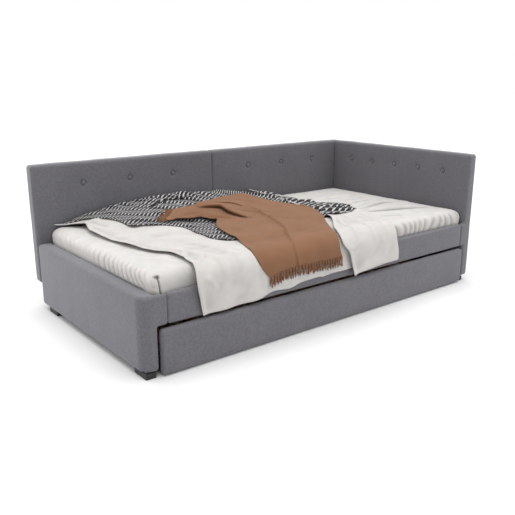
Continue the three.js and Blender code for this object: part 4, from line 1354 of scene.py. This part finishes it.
def hem_fringe():
    """The strands that hang from the front hem: a close row, and tufts in front of it."""
    draw = np.random.default_rng(7)
    left = BROWN_HEM[:3]
    right = [(BROWN_HEM[2][0] + 6 * MM, BROWN_HEM[2][1])] + BROWN_HEM[3:]
    strands = 7
    lines = []
    for edge, tufts in ((left, 10), (right, 15)):
        row, _ = tufted(draw, edge, tufts, 6, 0.5)
        ways = np.stack([draw.uniform(-0.10, 0.10, len(row)), np.ones(len(row))], axis=1)
        lengths = draw.uniform(36, 44, len(row)) * MM
        flush = np.zeros(len(row))
        lines += list(strand_lines(draw, row - (0, 4 * MM), ways, lengths, brown_lift, flush))
        tuft, lean = tufted(draw, edge, tufts, strands, 0.30)
        aside = -0.10 * lean + np.repeat(draw.uniform(-0.12, 0.12, tufts), strands)
        ways = np.stack([aside, np.ones(len(tuft))], axis=1)
        lengths = draw.uniform(42, 50, len(tuft)) * MM
        stand = draw.uniform(3.0, 5.5, len(tuft)) * MM
        lines += list(strand_lines(draw, tuft - (0, 5 * MM), ways, lengths, brown_lift, stand))
    return strand_tubes("brown_hem_fringe", lines, 2.0 * MM)


def end_fringe():
    """The ragged strands at the far end, lying on the other throw."""
    draw = np.random.default_rng(11)
    tufts = 13
    strands = 5
    roots, lean = tufted(draw, BROWN_END, tufts, strands, 0.30)
    ways = np.stack([np.full(len(roots), -0.9), 0.3 * lean - 0.45], axis=1)
    ways[:, 1] += np.repeat(draw.uniform(-0.3, 0.3, tufts), strands)
    lengths = draw.uniform(34, 66, len(roots)) * MM
    stand = draw.uniform(9.0, 14.0, len(roots)) * MM
    lines = strand_lines(draw, roots + (8 * MM, 4 * MM), ways, lengths, hound_base, stand)
    return strand_tubes("brown_end_fringe", lines, 2.3 * MM)


# ---------------------------------------------------------------- frame parts that keep their CAD shape


def dress_cad_nodes():
    """Gives every CAD node that stays in view its own finish, by the start of its name."""
    finishes = {
        BLACK_PLASTIC: ("foot_",),
        WHEEL_PLASTIC: ("trundle_wheel_",),
        ZINC: ("trundle_fork_", "trundle_axle_", "corner_bracket_", "back_joining_plate"),
        PINE_ACROSS: ("bed_slat_roll", "trundle_slat_roll", "footboard_cleat", "headboard_cleat"),
        # The trundle's side rails are painted near-black to stand for the shade in the gap round its
        # front.
        GAP_SHADE_PINE: ("trundle_side_rail",),
        PINE: ("front_ledger", "back_ledger", "trundle_rear_", "trundle_front_ledger"),
        PLYWOOD: ("front_rail_core", "back_panel_left_core", "back_panel_right_core",
                  "trundle_front_core"),
        # The cover's cloth is turned under the boards of the two end panels.
        UPHOLSTERY: ("footboard_core", "headboard_core"),
    }
    for name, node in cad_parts.items():
        for material, stems in finishes.items():
            if name.startswith(stems):
                node.data.materials.clear()
                node.data.materials.append(material)


# ---------------------------------------------------------------- floor, light and camera


FLOOR_HALF = 30.0
CAMERA_PLACE = (-2.0546, -2.5096, 1.1069)
CAMERA_TURN = math.radians(38.51)
CAMERA_PITCH = math.radians(15.84)
CAMERA_LENS = 44.9


def make_stage():
    floor = Finish("floor", (0.68, 0.68, 0.68), 0.8, Specular_IOR_Level=0.1)
    tone = floor.noise(1.5, floor.place(), 3.0)
    floor.colour(floor.blend(tone, (0.67, 0.67, 0.67), (0.69, 0.69, 0.69)))
    corners = [(x * FLOOR_HALF, y * FLOOR_HALF, 0) for x, y in ((-1, -1), (1, -1), (1, 1), (-1, 1))]
    make_mesh("studio_floor", corners, [[0, 1, 2, 3]], floor.material)


def add_area_light(name, place, aim, size, power):
    light = bpy.data.lights.new(name, "AREA")
    light.shape = "SQUARE"
    light.size = size
    light.energy = power
    lamp = bpy.data.objects.new(name, light)
    lamp.location = place
    lamp.visible_camera = False
    lamp.rotation_euler = (Vector(aim) - Vector(place)).to_track_quat("-Z", "Y").to_euler()
    bpy.context.scene.collection.objects.link(lamp)


def add_wide_sun(spread, strength):
    """An overhead sun as wide as a soft box: spread is its angle in degrees."""
    light = bpy.data.lights.new("overhead", "SUN")
    light.angle = math.radians(spread)
    light.energy = strength
    bpy.context.scene.collection.objects.link(bpy.data.objects.new("overhead", light))


def make_light():
    world = bpy.data.worlds.new("studio")
    bpy.context.scene.world = world
    world.use_nodes = True
    background = world.node_tree.nodes["Background"]
    background.inputs["Color"].default_value = (1.0, 1.0, 1.0, 1)
    background.inputs["Strength"].default_value = 1.0
    add_wide_sun(55, 0.72 * math.pi)
    add_area_light("front_right", (3.2, -3.8, 0.9), (0.2, -0.5, 0.35), 1.0, 32.0)
    add_area_light("foot_side", (-2.6, 2.4, 0.8), (-1.0, -0.1, 0.3), 0.8, 20.0)


def make_camera():
    """Looks down at the open front from beyond the foot end."""
    camera = bpy.data.objects.new("camera", bpy.data.cameras.new("camera"))
    camera.location = CAMERA_PLACE
    camera.rotation_euler = (math.pi / 2 - CAMERA_PITCH, 0, -CAMERA_TURN)
    camera.data.sensor_width = 36.0
    camera.data.lens = CAMERA_LENS
    bpy.context.scene.collection.objects.link(camera)
    bpy.context.scene.camera = camera


def main():
    make_camera()
    make_light()
    make_stage()
    make_end_panels()
    make_panels()
    make_mattress()
    make_fitted_sheet()
    make_duvet()
    make_houndstooth_throw()
    make_brown_throw()
    dress_cad_nodes()
    bpy.context.scene.view_settings.view_transform = "Standard"


main()
